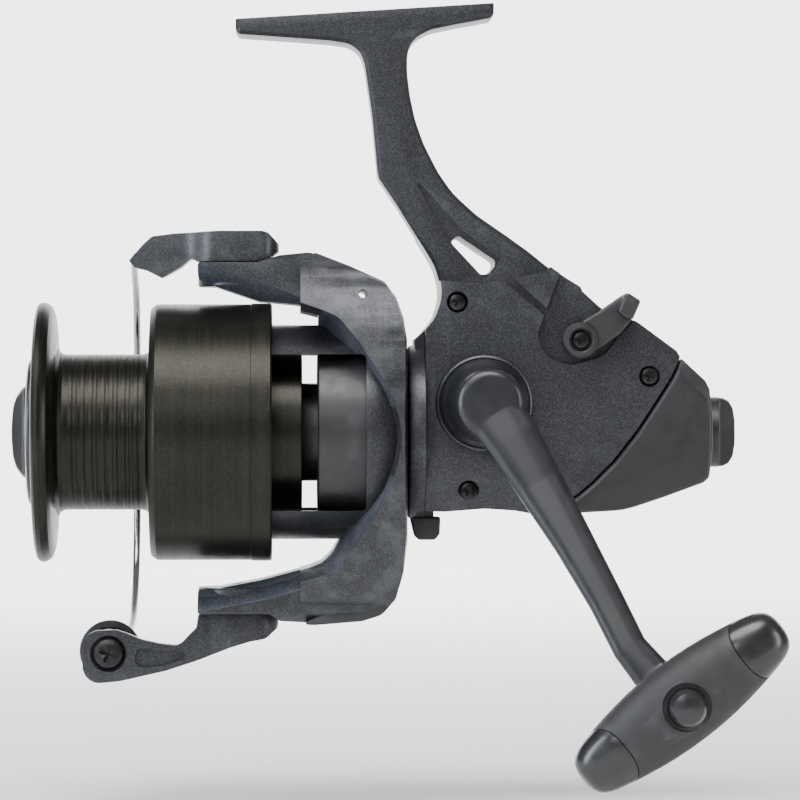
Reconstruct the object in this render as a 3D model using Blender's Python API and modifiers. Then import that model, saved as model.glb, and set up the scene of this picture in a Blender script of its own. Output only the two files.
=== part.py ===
"""Open-face spinning reel with a free-spool lever: housing, gears, rotor, bail, spool, handle."""

import math

import bmesh
import bpy
from mathutils import Matrix, Vector

# Frame: X runs along the main shaft, the spool towards -X; Y is the handle shaft, the handle
# towards -Y; Z is up to the foot. Layout places are measured from the point where the handle
# shaft passes the main shaft. The whole reel hangs from an empty that puts the world's origin
# at the middle of the foot's flat face.
GAP = 0.0003  # between pieces that rest on each other
RUN = 0.0004  # radial clearance of a turning or sliding fit

# Foot and stem
FOOT_TOP = (-0.0305, 0.1087)  # X and Z of the middle of the foot's flat face
FOOT_LENGTH = 0.0665
FOOT_WIDTH = 0.0200
FOOT_THICKNESS = 0.0045
FOOT_TILT = math.radians(3.65)
STEM_THICKNESS = 0.0130
STEM_BEVEL = 0.0030

# Housing
BODY_HALF = 0.0180  # half of the body's width
PARTING_Y = -0.0060
WALL = 0.0024
BODY_BEVEL = 0.0028
COLLAR_RADIUS = 0.0225
COLLAR_FRONT = -0.0192
COLLAR_DEPTH = 0.0040
COVER_SCREWS = ((-0.0068, 0.0334), (0.0425, 0.0144), (-0.0039, -0.0150))
SCREW_HEAD = 0.0023
SCREW_SHANK = 0.0012
SCREW_BOSS = 0.0036

# Shafts and gears
SHAFT_RADIUS = 0.0020
SHAFT_FRONT = -0.1135
SHAFT_BACK = 0.0240
DRIVE_Z = 0.0075  # height of the handle shaft above the main shaft
DRIVE_SHAFT_RADIUS = 0.0040
DRIVE_TEETH = 49
PINION_TEETH = 10
DRIVE_GEAR_RADIUS = 0.0146
DRIVE_GEAR_WIDTH = 0.0035
PINION_TIP = 0.0045
PINION_SLEEVE = 0.0038
PINION_BACK = -0.0055
TOOTH = 0.0009
LAY_TEETH = (14, 28)  # small gear on the handle shaft, gear that moves the slider
LAY_DISTANCE = 0.0189
STROKE = 0.0100  # the spool travels this far each way
STUD_RADIUS = 0.0015
SLIDER_HALF = 0.0030
SLIDER_FACE = 0.0055  # the stud stops just short of it
BEARING_WIDTH = 0.0040
BEARING_WALL = 0.0036

# Rotor and bail
CUP_RADIUS = 0.0278
CUP_WALL = 0.0022
ROTOR_HUB = 0.0075
CUP_FRONT = -0.0600
ROTOR_BACK = -0.0196
WINDOW_HALF = 0.0200
ARM_HALF = 0.0130
PIVOT_X = -0.0629
PIVOT_PAD = 0.0105
UPPER_TOP = 0.0438
LOWER_BOTTOM = -0.0467
WIRE_RADIUS = 0.0008
WIRE_REACH = 0.0663  # clears the lip with the spool fully forward
ROLLER_X = -0.0964
ROLLER_Z = -0.0570
ROLLER_RADIUS = 0.0052
ROLLER_LENGTH = 0.0070

# Spool and drag
SPOOL_BORE = SHAFT_RADIUS + RUN
LIP_RADIUS = 0.0337
LIP_FRONT = -0.1152
ARBOR_RADIUS = 0.02015
ARBOR_FRONT = -0.1100
ARBOR_BACK = -0.0855
SKIRT_RADIUS = 0.0334
SKIRT_WALL = 0.0018
SKIRT_BACK = -0.0543
HUB_RADIUS = 0.0200
HUB_BACK = -0.0465
DRAG_BORE = 0.0165
DRAG_FLOOR = -0.0905
DRAG_WASHER = 0.0014
DRAG_KNOB_RADIUS = 0.0124
DRAG_KNOB_FRONT = -0.1217
FRONT_RING_RADIUS = 0.0190

# Handle
CRANK_BASE_RADIUS = 0.0114
CRANK_HUB_RADIUS = 0.0086
CRANK_ROOT_Y = -0.0500
CRANK_EYE = (0.0446, -0.0720, -0.0647)  # outside the circle the bail wire turns in
CRANK_WIDTH = 0.0070
CRANK_THICKNESS = 0.0052
EYE_RADIUS = 0.0080
SPINDLE_RADIUS = 0.0022
GRIP_Y = -0.0895
GRIP_HALF = 0.0301
GRIP_RADIUS = 0.0100
GRIP_TIP_RADIUS = 0.0068
GRIP_CAP = 0.0075
GRIP_TILT = math.radians(37.7)
BUTTON_RADIUS = 0.0046

# Levers
FREE_LEVER = (0.0246, 0.0236)
FREE_LEVER_HUB = 0.0046
STOP_LEVER_X = -0.0146
STOP_LEVER_Z = -0.0165
REAR_KNOB_RADIUS = 0.0091
REAR_KNOB_BACK = 0.0660
REAR_FACE = 0.0588

for old in list(bpy.data.objects):
    bpy.data.objects.remove(old, do_unlink=True)

PARTS = bpy.data.collections.new("spinning_reel")
CUTTERS = bpy.data.collections.new("cutters")
for group in (PARTS, CUTTERS):
    bpy.context.scene.collection.children.link(group)

ORIGIN = bpy.data.objects.new("foot_origin", None)
ORIGIN.location = (-FOOT_TOP[0], 0, -FOOT_TOP[1])
PARTS.objects.link(ORIGIN)

TURN = {
    "X": Matrix.Rotation(math.pi / 2, 4, "Y"),
    "Y": Matrix.Rotation(-math.pi / 2, 4, "X"),
    "Z": Matrix.Identity(4),
}
PLATE = Matrix.Rotation(math.pi / 2, 4, "X")  # an outline's x and y become X and Z
# Many cuts meet on these, and the exact solver leaves open slivers there.
CROWDED = ("main_housing", "side_cover", "rotor", "roller_arm")


def material(name, colour, roughness, metallic):
    made = bpy.data.materials.new(name)
    made.use_nodes = True
    shader = made.node_tree.nodes["Principled BSDF"]
    shader.inputs["Base Color"].default_value = (*colour, 1)
    shader.inputs["Roughness"].default_value = roughness
    shader.inputs["Metallic"].default_value = metallic
    made.diffuse_color = (*colour, 1)
    return made


PAINT = material("speckled_paint", (0.045, 0.047, 0.052), 0.5, 0.5)
SATIN = material("satin_black", (0.025, 0.026, 0.028), 0.35, 0.2)
GLOSS = material("gloss_black", (0.02, 0.02, 0.022), 0.12, 0.0)
ANODISED = material("anodised_olive", (0.05, 0.05, 0.042), 0.35, 0.9)
STEEL = material("steel", (0.6, 0.6, 0.6), 0.22, 1.0)
BRASS = material("brass", (0.55, 0.4, 0.18), 0.3, 1.0)
ZINC = material("zinc_alloy", (0.35, 0.36, 0.38), 0.4, 1.0)
FELT = material("felt", (0.35, 0.32, 0.27), 0.95, 0.0)
NYLON = material("nylon", (0.75, 0.74, 0.7), 0.5, 0.0)
GRIP = material("grip_rubber", (0.04, 0.042, 0.045), 0.7, 0.0)


def place(obj, at, turn, paint):
    """Parts get a material and their own collection; shapes without one only cut or join."""
    obj.parent = ORIGIN
    obj.matrix_basis = Matrix.Translation(at) @ turn
    if paint is None:
        CUTTERS.objects.link(obj)
        obj.hide_render = True
        obj.display_type = "WIRE"
    else:
        PARTS.objects.link(obj)
        obj.data.materials.clear()
        obj.data.materials.append(paint)
    return obj


def modify(obj, kind, **values):
    modifier = obj.modifiers.new(kind.title(), kind)
    for key, value in values.items():
        setattr(modifier, key, value)
    return obj


def combine(obj, operation, others):
    solver = "MANIFOLD" if obj.name in CROWDED else "EXACT"
    for other in others:
        modify(obj, "BOOLEAN", operation=operation, solver=solver, object=other)
    return obj


def cut(obj, *tools):
    return combine(obj, "DIFFERENCE", tools)


def join(obj, *others):
    return combine(obj, "UNION", others)


def bevel(obj, width, segments=1):
    return modify(obj, "BEVEL", width=width, segments=segments, limit_method="ANGLE",
                  angle_limit=math.radians(35), use_clamp_overlap=True)


def turned(name, profile, paint=None, axis="X", at=(0, 0, 0), steps=32):
    """A profile of (radius, place along the axis) points, turned about the axis."""
    on_axis = profile[0][0] == 0 and profile[-1][0] == 0
    loop = profile if on_axis else profile + profile[:1]
    area = sum(a[0] * b[1] - b[0] * a[1] for a, b in zip(loop, loop[1:] + loop[:1]))
    if area > 0:
        loop = loop[::-1]
    mesh = bpy.data.meshes.new(name)
    shape = bmesh.new()
    ring = [shape.verts.new((radius, 0, along)) for radius, along in loop[:len(profile)]]
    for first, second in zip(ring, ring[1:]):
        shape.edges.new((first, second))
    if not on_axis:
        shape.edges.new((ring[-1], ring[0]))
    shape.to_mesh(mesh)
    shape.free()
    obj = place(bpy.data.objects.new(name, mesh), at, TURN[axis], paint)
    modify(obj, "SCREW", steps=steps, render_steps=steps, use_merge_vertices=True,
           merge_threshold=0.00001, use_smooth_shade=True)
    return obj


def rod(name, radius, start, end, paint=None, axis="X", at=(0, 0, 0), steps=12):
    return turned(name, [(0, end), (radius, end), (radius, start), (0, start)],
                  paint, axis, at, steps)


def ring(name, outer, inner, start, end, paint=None, axis="X", at=(0, 0, 0), steps=18):
    profile = [(inner, end), (outer, end), (outer, start), (inner, start)]
    return turned(name, profile, paint, axis, at, steps)


def rounded(corners, step=math.radians(30)):
    """Corner points (x, y, fillet radius) made into a point list with arcs."""
    points = []
    count = len(corners)
    for i, (x, y, radius) in enumerate(corners):
        here = Vector((x, y))
        before = (Vector(corners[i - 1][:2]) - here)
        after = (Vector(corners[(i + 1) % count][:2]) - here)
        angle = before.angle(after)
        if radius == 0 or angle > math.radians(172):
            points.append(here)
            continue
        reach = min(radius / math.tan(angle / 2), before.length * 0.48, after.length * 0.48)
        radius = reach * math.tan(angle / 2)
        start, end = here + before.normalized() * reach, here + after.normalized() * reach
        middle = here + (before.normalized() + after.normalized()).normalized() * (
            radius / math.sin(angle / 2))
        arms = int(max(1, math.ceil((math.pi - angle) / step)))
        for k in range(arms + 1):
            blend = start.lerp(end, k / arms) - middle
            points.append(middle + blend.normalized() * radius)
    return points


def plate(name, points, start, end, paint=None, at=(0, 0, 0), turn=PLATE, width=0, segments=1):
    """A flat outline extruded; with PLATE it lies in X and Z and start and end are along -Y."""
    curve = bpy.data.curves.new(name, "CURVE")
    curve.dimensions = "2D"
    curve.fill_mode = "BOTH"
    curve.extrude = (end - start) / 2
    spline = curve.splines.new("POLY")
    spline.points.add(len(points) - 1)
    for target, point in zip(spline.points, points):
        target.co = (point[0], point[1], 0, 1)
    spline.use_cyclic_u = True
    flat = bpy.data.objects.new(name + "_outline", curve)
    CUTTERS.objects.link(flat)
    mesh = bpy.data.meshes.new_from_object(flat.evaluated_get(
        bpy.context.evaluated_depsgraph_get()))
    bpy.data.objects.remove(flat)
    mesh.name = name
    shape = bmesh.new()
    shape.from_mesh(mesh)
    bmesh.ops.remove_doubles(shape, verts=shape.verts, dist=0.000001)
    bmesh.ops.dissolve_limit(shape, angle_limit=0.01, verts=shape.verts, edges=shape.edges)
    bmesh.ops.translate(shape, verts=shape.verts, vec=(0, 0, (start + end) / 2))
    bmesh.ops.recalc_face_normals(shape, faces=shape.faces)
    shape.to_mesh(mesh)
    shape.free()
    obj = place(bpy.data.objects.new(name, mesh), at, turn, paint)
    if width:
        bevel(obj, width, segments)
    return obj


def slab(name, corners, near, far, paint=None, width=0, segments=1):
    """A plate in X and Z from Y = near to Y = far."""
    return plate(name, rounded(corners), -far, -near, paint, width=width, segments=segments)


def box(name, low, high, paint=None, turn=Matrix.Identity(4), width=0):
    mesh = bpy.data.meshes.new(name)
    shape = bmesh.new()
    bmesh.ops.create_cube(shape, size=1)
    size = [b - a for a, b in zip(low, high)]
    bmesh.ops.scale(shape, verts=shape.verts, vec=size)
    shape.to_mesh(mesh)
    shape.free()
    middle = [(a + b) / 2 for a, b in zip(low, high)]
    obj = place(bpy.data.objects.new(name, mesh), middle, turn, paint)
    if width:
        bevel(obj, width)
    return obj


def tube(name, points, radius, paint, resolution=2):
    curve = bpy.data.curves.new(name, "CURVE")
    curve.dimensions = "3D"
    curve.bevel_depth = radius
    curve.bevel_resolution = resolution
    curve.use_fill_caps = True
    spline = curve.splines.new("POLY")
    spline.points.add(len(points) - 1)
    for target, point in zip(spline.points, points):
        target.co = (*point, 1)
    return place(bpy.data.objects.new(name, curve), (0, 0, 0), Matrix.Identity(4), paint)


def gear_points(teeth, tip):
    """Straight-sided teeth whose tips reach the given radius."""
    points = []
    for k in range(teeth):
        for share, radius in ((-0.30, tip - 2 * TOOTH), (-0.14, tip), (0.14, tip),
                              (0.30, tip - 2 * TOOTH)):
            angle = (k + share) * math.tau / teeth
            points.append((radius * math.cos(angle), radius * math.sin(angle)))
    return points


def screw(name, at, axis, head_top, length, paint=STEEL, head=SCREW_HEAD, shank=SCREW_SHANK):
    """A pan-head screw with a cross recess; head_top is its place along the axis, the shank
    runs from there by the signed length."""
    way = math.copysign(1, length)
    neck = head_top + way * head * 0.5
    profile = [(0, head_top), (head * 0.8, head_top), (head, head_top + way * head * 0.25),
               (head, neck), (shank, neck), (shank, head_top + length), (0, head_top + length)]
    made = turned(name, profile, paint, axis, at, 10)
    for k, turn in enumerate((0, math.pi / 2)):
        slot = [head * 1.1, head * 0.22, head * 0.5]
        tool = box(f"{name}_slot_{k}", [-s / 2 for s in slot], [s / 2 for s in slot])
        tool.matrix_basis = (Matrix.Translation(at) @ TURN[axis]
                             @ Matrix.Translation((0, 0, head_top)) @ Matrix.Rotation(turn, 4, "Z"))
        cut(made, tool)
    return made


def housing():
    body = [(COLLAR_FRONT + COLLAR_DEPTH / 2, -0.0200, 0), (0.0146, -0.0212, 0.004),
            (0.0228, -0.0167, 0.01), (0.0332, -0.0071, 0), (0.0392, 0.0006, 0),
            (0.0439, 0.0078, 0.01), (0.0505, 0.0194, 0.001), (0.0392, 0.0284, 0.008),
            (0.0302, 0.0317, 0.005), (0.0251, 0.0370, 0.003), (0.0150, 0.0430, 0),
            (-0.0100, 0.0430, 0.004), (-0.0106, 0.0340, 0.01),
            (COLLAR_FRONT + COLLAR_DEPTH / 2, 0.0220, 0.003)]
    made = slab("main_housing", body, PARTING_Y, BODY_HALF, PAINT, BODY_BEVEL)
    stem = [(-0.0300, 0.1010, 0), (-0.0285, 0.0820, 0.03), (-0.0268, 0.0650, 0.006),
            (-0.0144, 0.0464, 0.01), (-0.0106, 0.0360, 0.008), (-0.0106, 0.0300, 0),
            (0.0302, 0.0317, 0), (0.0211, 0.0396, 0), (0.0116, 0.0469, 0.02),
            (-0.0014, 0.0560, 0.02), (-0.0115, 0.0672, 0.02), (-0.0174, 0.0808, 0.02),
            (-0.0194, 0.0940, 0.01), (-0.0186, 0.1010, 0)]
    join(made, slab("stem", stem, -STEM_THICKNESS / 2, STEM_THICKNESS / 2, None, STEM_BEVEL))
    shoulder = [(-0.0106, 0.0390, 0), (0.0215, 0.0392, 0), (0.0116, 0.0469, 0.02),
                (-0.0005, 0.0530, 0.01), (-0.0144, 0.0464, 0.005)]
    join(made, slab("shoulder", shoulder, -BODY_HALF + 0.0055, BODY_HALF - 0.0055, None, 0.0015))
    tilt = Matrix.Rotation(-FOOT_TILT, 4, "Y")
    half = FOOT_LENGTH / 2
    foot = plate("foot", rounded([(-half, -FOOT_WIDTH / 2 + 0.001, 0.005),
                                  (half, -FOOT_WIDTH / 2 + 0.001, 0.005),
                                  (half, FOOT_WIDTH / 2 - 0.001, 0.005),
                                  (-half, FOOT_WIDTH / 2 - 0.001, 0.005)]),
                 -FOOT_THICKNESS, 0, None, (FOOT_TOP[0], 0, FOOT_TOP[1]), tilt)
    web = [(-0.0500, 0.1035, 0), (-0.0340, 0.1015, 0.004), (-0.0298, 0.0930, 0),
           (-0.0196, 0.0930, 0), (-0.0170, 0.1035, 0.004), (-0.0060, 0.1070, 0)]
    join(made, foot, slab("foot_web", web, -STEM_THICKNESS / 2, STEM_THICKNESS / 2))
    collar = turned("collar", [(0.0060, COLLAR_FRONT), (COLLAR_RADIUS - 0.001, COLLAR_FRONT),
                               (COLLAR_RADIUS, COLLAR_FRONT + 0.001),
                               (COLLAR_RADIUS, COLLAR_FRONT + COLLAR_DEPTH),
                               (0.0060, COLLAR_FRONT + COLLAR_DEPTH)], steps=32)
    join(made, collar)
    inside = [(-0.0152, -0.0173, 0), (0.0180, -0.0176, 0.003), (0.0245, -0.0128, 0),
              (0.0352, -0.0015, 0), (0.0412, 0.0078, 0), (0.0465, 0.0180, 0.002),
              (0.0370, 0.0262, 0.003), (0.0270, 0.0305, 0.003), (0.0180, 0.0365, 0.003),
              (-0.0070, 0.0365, 0.003), (-0.0080, 0.0300, 0), (-0.0152, 0.0205, 0)]
    cut(made, slab("housing_inside", inside, PARTING_Y - 0.02, BODY_HALF - WALL))
    half_collar = box("collar_half", (COLLAR_FRONT + COLLAR_DEPTH + GAP, -0.03, -0.03),
                      (0.07, PARTING_Y, 0.0388))
    cut(made, half_collar)
    for k, (x, z) in enumerate(COVER_SCREWS):
        join(made, rod(f"screw_boss_{k}", SCREW_BOSS, PARTING_Y, BODY_HALF - 0.001, axis="Y",
                       at=(x, 0, z)))
        cut(made, rod(f"screw_bore_{k}", SCREW_SHANK + RUN, PARTING_Y - 0.01, 0.0120, axis="Y",
                      at=(x, 0, z), steps=12))
    far_seat = BEARING_WALL + DRIVE_SHAFT_RADIUS + RUN + GAP
    drive_at = (0, 0, DRIVE_Z)
    join(made, rod("far_bearing_boss", far_seat + 0.0024, 0.0104, BODY_HALF - 0.001, axis="Y",
                   at=drive_at, steps=24))
    cut(made, rod("far_bearing_seat", far_seat, 0.0100, BODY_HALF - WALL - GAP, axis="Y",
                  at=drive_at, steps=24),
        rod("far_opening", DRIVE_SHAFT_RADIUS + 0.001, 0.0100, BODY_HALF + 0.01, axis="Y",
            at=drive_at))
    pinion_seat = PINION_SLEEVE + BEARING_WALL + RUN + GAP
    cut(made, rod("pinion_seat", pinion_seat, COLLAR_FRONT - 0.01, -0.01, steps=28))
    stop = (STOP_LEVER_X, STOP_LEVER_Z)
    cut(made, box("stop_lever_slot", (stop[0] - 0.0032, -0.0058, -0.0300),
                  (stop[0] + 0.0036, 0.0058, stop[1] + 0.0020)),
        rod("stop_lever_bore", 0.0016 + RUN, stop[0] - 0.0026, stop[0] + 0.0064,
            at=(0, 0, stop[1])))
    hole = [(-0.0080, 0.0497, 0.0006), (-0.0063, 0.0508, 0.0008), (0.0024, 0.0444, 0.0006),
            (0.0010, 0.0410, 0.0010), (-0.0005, 0.0408, 0.0006)]
    cut(made, slab("stem_slot", hole, -0.03, 0.03))
    lever_x, lever_z = FREE_LEVER
    cut(made, rod("lever_socket", 0.0021 + RUN, PARTING_Y - 0.03, PARTING_Y + 0.004, axis="Y",
                  at=(lever_x, 0, lever_z)))
    return made


def side_cover():
    outline = [(COLLAR_FRONT + COLLAR_DEPTH + GAP, -0.0200, 0), (0.0146, -0.0212, 0.004),
               (0.0228, -0.0167, 0.01), (0.0332, -0.0071, 0), (0.0392, 0.0006, 0),
               (0.0439, 0.0078, 0.01), (0.0505, 0.0194, 0.001), (0.0392, 0.0284, 0.008),
               (0.0302, 0.0317, 0.005), (0.0251, 0.0370, 0.003), (0.0215, 0.0385, 0),
               (-0.0106, 0.0385, 0), (-0.0106, 0.0340, 0.01),
               (COLLAR_FRONT + COLLAR_DEPTH + GAP, 0.0220, 0.003)]
    far = PARTING_Y - GAP
    made = slab("side_cover", outline, -BODY_HALF, far, PAINT, BODY_BEVEL)
    inside = [(-0.0125, -0.0176, 0), (0.0180, -0.0180, 0.003), (0.0245, -0.0132, 0),
              (0.0352, -0.0018, 0), (0.0412, 0.0078, 0), (0.0465, 0.0180, 0.002),
              (0.0370, 0.0262, 0.003), (0.0270, 0.0305, 0.003), (0.0180, 0.0360, 0.003),
              (-0.0070, 0.0360, 0.003), (-0.0075, 0.0300, 0), (-0.0125, 0.0215, 0)]
    cut(made, slab("cover_inside", inside, -BODY_HALF + WALL, far + 0.01))
    join(made, turned("handle_collar", [(0.0070, -BODY_HALF + 0.001), (0.0123, -BODY_HALF + 0.001),
                                        (0.0123, -BODY_HALF - 0.0026), (0.0117, -BODY_HALF - 0.0032),
                                        (0.0070, -BODY_HALF - 0.0032)], axis="Y",
                      at=(0, 0, DRIVE_Z), steps=32))
    seat = BEARING_WALL + DRIVE_SHAFT_RADIUS + RUN + GAP
    join(made, rod("near_bearing_boss", seat + 0.0022, -BODY_HALF + 0.001, -BODY_HALF + 0.0058,
                   axis="Y", at=(0, 0, DRIVE_Z), steps=24))
    for k, (x, z) in enumerate(COVER_SCREWS):
        join(made, rod(f"cover_boss_{k}", SCREW_BOSS, -BODY_HALF + 0.001, far, axis="Y",
                       at=(x, 0, z)))
        cut(made, rod(f"cover_head_{k}", SCREW_HEAD + RUN, -BODY_HALF - 0.01,
                      -BODY_HALF + 0.0024, axis="Y", at=(x, 0, z)),
            rod(f"cover_bore_{k}", SCREW_SHANK + RUN, -BODY_HALF - 0.01, far + 0.01, axis="Y",
                at=(x, 0, z), steps=12))
    cut(made, rod("near_bearing_seat", seat, -BODY_HALF + 0.0014, -BODY_HALF + 0.02, axis="Y",
                  at=(0, 0, DRIVE_Z), steps=24),
        rod("near_opening", DRIVE_SHAFT_RADIUS + 0.0010, -0.05, -0.01, axis="Y",
            at=(0, 0, DRIVE_Z)))
    lever_x, lever_z = FREE_LEVER
    pocket = [(lever_x - 0.0110, lever_z + 0.0030, 0.002), (lever_x - 0.0060, lever_z - 0.0050, 0.004),
              (lever_x + 0.0040, lever_z - 0.0062, 0.005), (lever_x + 0.0095, lever_z + 0.0010, 0.004),
              (lever_x + 0.0260, lever_z + 0.0180, 0), (lever_x - 0.0040, lever_z + 0.0200, 0)]
    cut(made, slab("lever_pocket", pocket, -BODY_HALF - 0.01, -BODY_HALF + 0.0016),
        rod("lever_hole", 0.0021 + RUN, -0.05, 0, axis="Y", at=(lever_x, 0, lever_z)))


def rear_cover():
    outline = [(0.0150, -0.0212, 0), (0.0248, -0.0205, 0.02), (0.0361, -0.0200, 0.02),
               (0.0463, -0.0166, 0.01), (0.0575, -0.0124, 0.002), (REAR_FACE, 0.0010, 0.03),
               (0.0577, 0.0126, 0.003), (0.0510, 0.0190, 0), (0.0444, 0.0075, 0.01),
               (0.0397, 0.0003, 0), (0.0337, -0.0074, 0), (0.0233, -0.0172, 0.01)]
    made = slab("rear_cover", outline, -BODY_HALF + 0.0006, BODY_HALF - 0.0006, SATIN,
                BODY_BEVEL + 0.0012)
    inside = [(0.0300, 0.0050, 0), (0.0470, 0.0140, 0), (0.0516, 0.0145, 0.001),
              (0.0550, 0.0105, 0.001), (0.0562, -0.0010, 0), (0.0548, -0.0102, 0.001),
              (0.0455, -0.0140, 0), (0.0358, -0.0173, 0), (0.0250, -0.0178, 0)]
    cut(made, slab("rear_inside", inside, -BODY_HALF + WALL + 0.001, BODY_HALF - WALL - 0.001),
        rod("rear_bore", 0.0030 + RUN, 0.05, 0.07))


def housing_hardware():
    for k, (x, z) in enumerate(COVER_SCREWS):
        screw(f"cover_screw_{k + 1}", (x, 0, z), "Y", -BODY_HALF + 0.0006, 0.0240, SATIN)
    inner = DRIVE_SHAFT_RADIUS + RUN
    outer = inner + BEARING_WALL
    near = -BODY_HALF + 0.0014 + GAP
    ring("near_drive_bearing", outer, inner, near, near + BEARING_WIDTH, STEEL, "Y",
         (0, 0, DRIVE_Z))
    far = BODY_HALF - WALL - 2 * GAP
    ring("far_drive_bearing", outer, inner, far - BEARING_WIDTH, far, STEEL, "Y", (0, 0, DRIVE_Z))
    front = COLLAR_FRONT
    ring("pinion_bearing", PINION_SLEEVE + RUN + BEARING_WALL, PINION_SLEEVE + RUN, front,
         front + BEARING_WIDTH, STEEL)
    turned("handle_port_cap", [(0, BODY_HALF + GAP), (0.0090, BODY_HALF + GAP),
                               (0.0090, BODY_HALF + 0.0018), (0.0080, BODY_HALF + 0.0028),
                               (0, BODY_HALF + 0.0028)], SATIN, "Y", (0, 0, DRIVE_Z))
    ring("one_way_clutch", 0.0135, ROTOR_HUB + RUN, COLLAR_FRONT - GAP - 0.0026,
         COLLAR_FRONT - GAP, STEEL)
    rod("guide_rod", 0.0012, -0.0149, COVER_SCREWS[1][0] - SCREW_BOSS - GAP, STEEL,
        at=(0, 0.0022, 0.0180))


def levers():
    lever_x, lever_z = FREE_LEVER
    blade = [(0, 0.0046, 0.001), (0.0050, 0.0076, 0.004), (0.0097, 0.0109, 0.004),
             (0.0117, 0.0120, 0.001), (0.0150, 0.0100, 0.0012), (0.0126, 0.0047, 0.004),
             (0.0103, 0.0018, 0.003), (0.0056, -0.0017, 0.002), (0.0010, -0.0040, 0)]
    made = plate("free_spool_lever", rounded(blade), BODY_HALF - 0.0012, BODY_HALF + 0.0032,
                 SATIN, (lever_x, 0, lever_z), width=0.0006)
    join(made, rod("lever_hub", FREE_LEVER_HUB, -BODY_HALF - 0.0044, -BODY_HALF + 0.0012,
                   axis="Y", at=(lever_x, 0, lever_z), steps=24),
         rod("lever_pin", 0.0021, -BODY_HALF - 0.001, PARTING_Y - 0.0060, axis="Y",
             at=(lever_x, 0, lever_z)))
    paddle = [(0.0095, 0.0070, 0.001), (0.0112, 0.0118, 0.001), (0.0150, 0.0100, 0.001),
              (0.0130, 0.0052, 0.001)]
    join(made, plate("lever_paddle", rounded(paddle), BODY_HALF + 0.002, BODY_HALF + 0.0085,
                     None, (lever_x, 0, lever_z)))
    cut(made, rod("lever_screw_bore", SCREW_SHANK + RUN, -0.05, -BODY_HALF + 0.0050, axis="Y",
                  at=(lever_x, 0, lever_z), steps=12),
        rod("lever_screw_seat", SCREW_HEAD + 0.0006, -0.05, -BODY_HALF - 0.0026, axis="Y",
            at=(lever_x, 0, lever_z)))
    screw("lever_screw", (lever_x, 0, lever_z), "Y", -BODY_HALF - 0.0044, 0.0080, SATIN)
    tab = [(-0.0038, -0.0074, 0.001), (-0.0030, -0.0112, 0.0015), (0.0030, -0.0115, 0.0018),
           (0.0038, -0.0074, 0.001)]
    stop = plate("anti_reverse_lever", rounded(tab), -0.0030, 0.0030, SATIN,
                 (STOP_LEVER_X, 0, STOP_LEVER_Z), width=0.0008)
    join(stop, box("stop_neck", (STOP_LEVER_X - 0.0022, -0.0020, STOP_LEVER_Z - 0.0082),
                   (STOP_LEVER_X + 0.0022, 0.0020, STOP_LEVER_Z)),
         rod("stop_barrel", 0.0016, STOP_LEVER_X - 0.0024, STOP_LEVER_X + 0.0062,
             at=(0, 0, STOP_LEVER_Z)))
    knob = turned("free_spool_knob", [(0, REAR_KNOB_BACK), (0.0070, REAR_KNOB_BACK),
                                      (REAR_KNOB_RADIUS, REAR_KNOB_BACK - 0.0020),
                                      (REAR_KNOB_RADIUS, REAR_FACE + GAP + 0.0003),
                                      (0.0030, REAR_FACE + GAP + 0.0003), (0.0030, 0.0470),
                                      (0, 0.0470)], SATIN)
    for side in (-1, 1):
        cut(knob, box(f"knob_flat_{side}", (REAR_KNOB_BACK - 0.0046, 0.0062 * side - 0.0040,
                                            -0.02),
                      (REAR_KNOB_BACK + 0.01, 0.0062 * side + 0.0040, 0.02)))
    ring("free_spool_plate", 0.0080, 0.0030 + RUN, 0.0500, 0.0518, STEEL)


def shaft_group():
    rod("main_shaft", SHAFT_RADIUS, SHAFT_FRONT, SHAFT_BACK, STEEL, steps=20)
    middle = LAY_DISTANCE
    reach = STROKE + STUD_RADIUS + 0.0014
    block = box("lay_slider", (middle - SLIDER_HALF, -SLIDER_FACE, DRIVE_Z - reach),
                (middle + SLIDER_HALF, 0.0045, DRIVE_Z + reach), ZINC, width=0.0005)
    cut(block, box("slider_slot", (middle - STUD_RADIUS - 0.0003, -0.01,
                                   DRIVE_Z - STROKE - STUD_RADIUS - 0.0005),
                   (middle + STUD_RADIUS + 0.0003, -0.0026, DRIVE_Z + STROKE + STUD_RADIUS + 0.0005)),
        rod("slider_bore", SHAFT_RADIUS + GAP, -0.05, 0.05),
        rod("slider_guide", 0.0012 + RUN, -0.05, 0.05, at=(0, 0.0022, 0.0180), steps=12))
    ring("spool_seat_washer", 0.0060, SHAFT_RADIUS + GAP, -0.0842, -0.0828, NYLON)
    ring("click_hub", 0.0110, SHAFT_RADIUS + GAP, -0.0825, -0.0775, ZINC)


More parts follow.
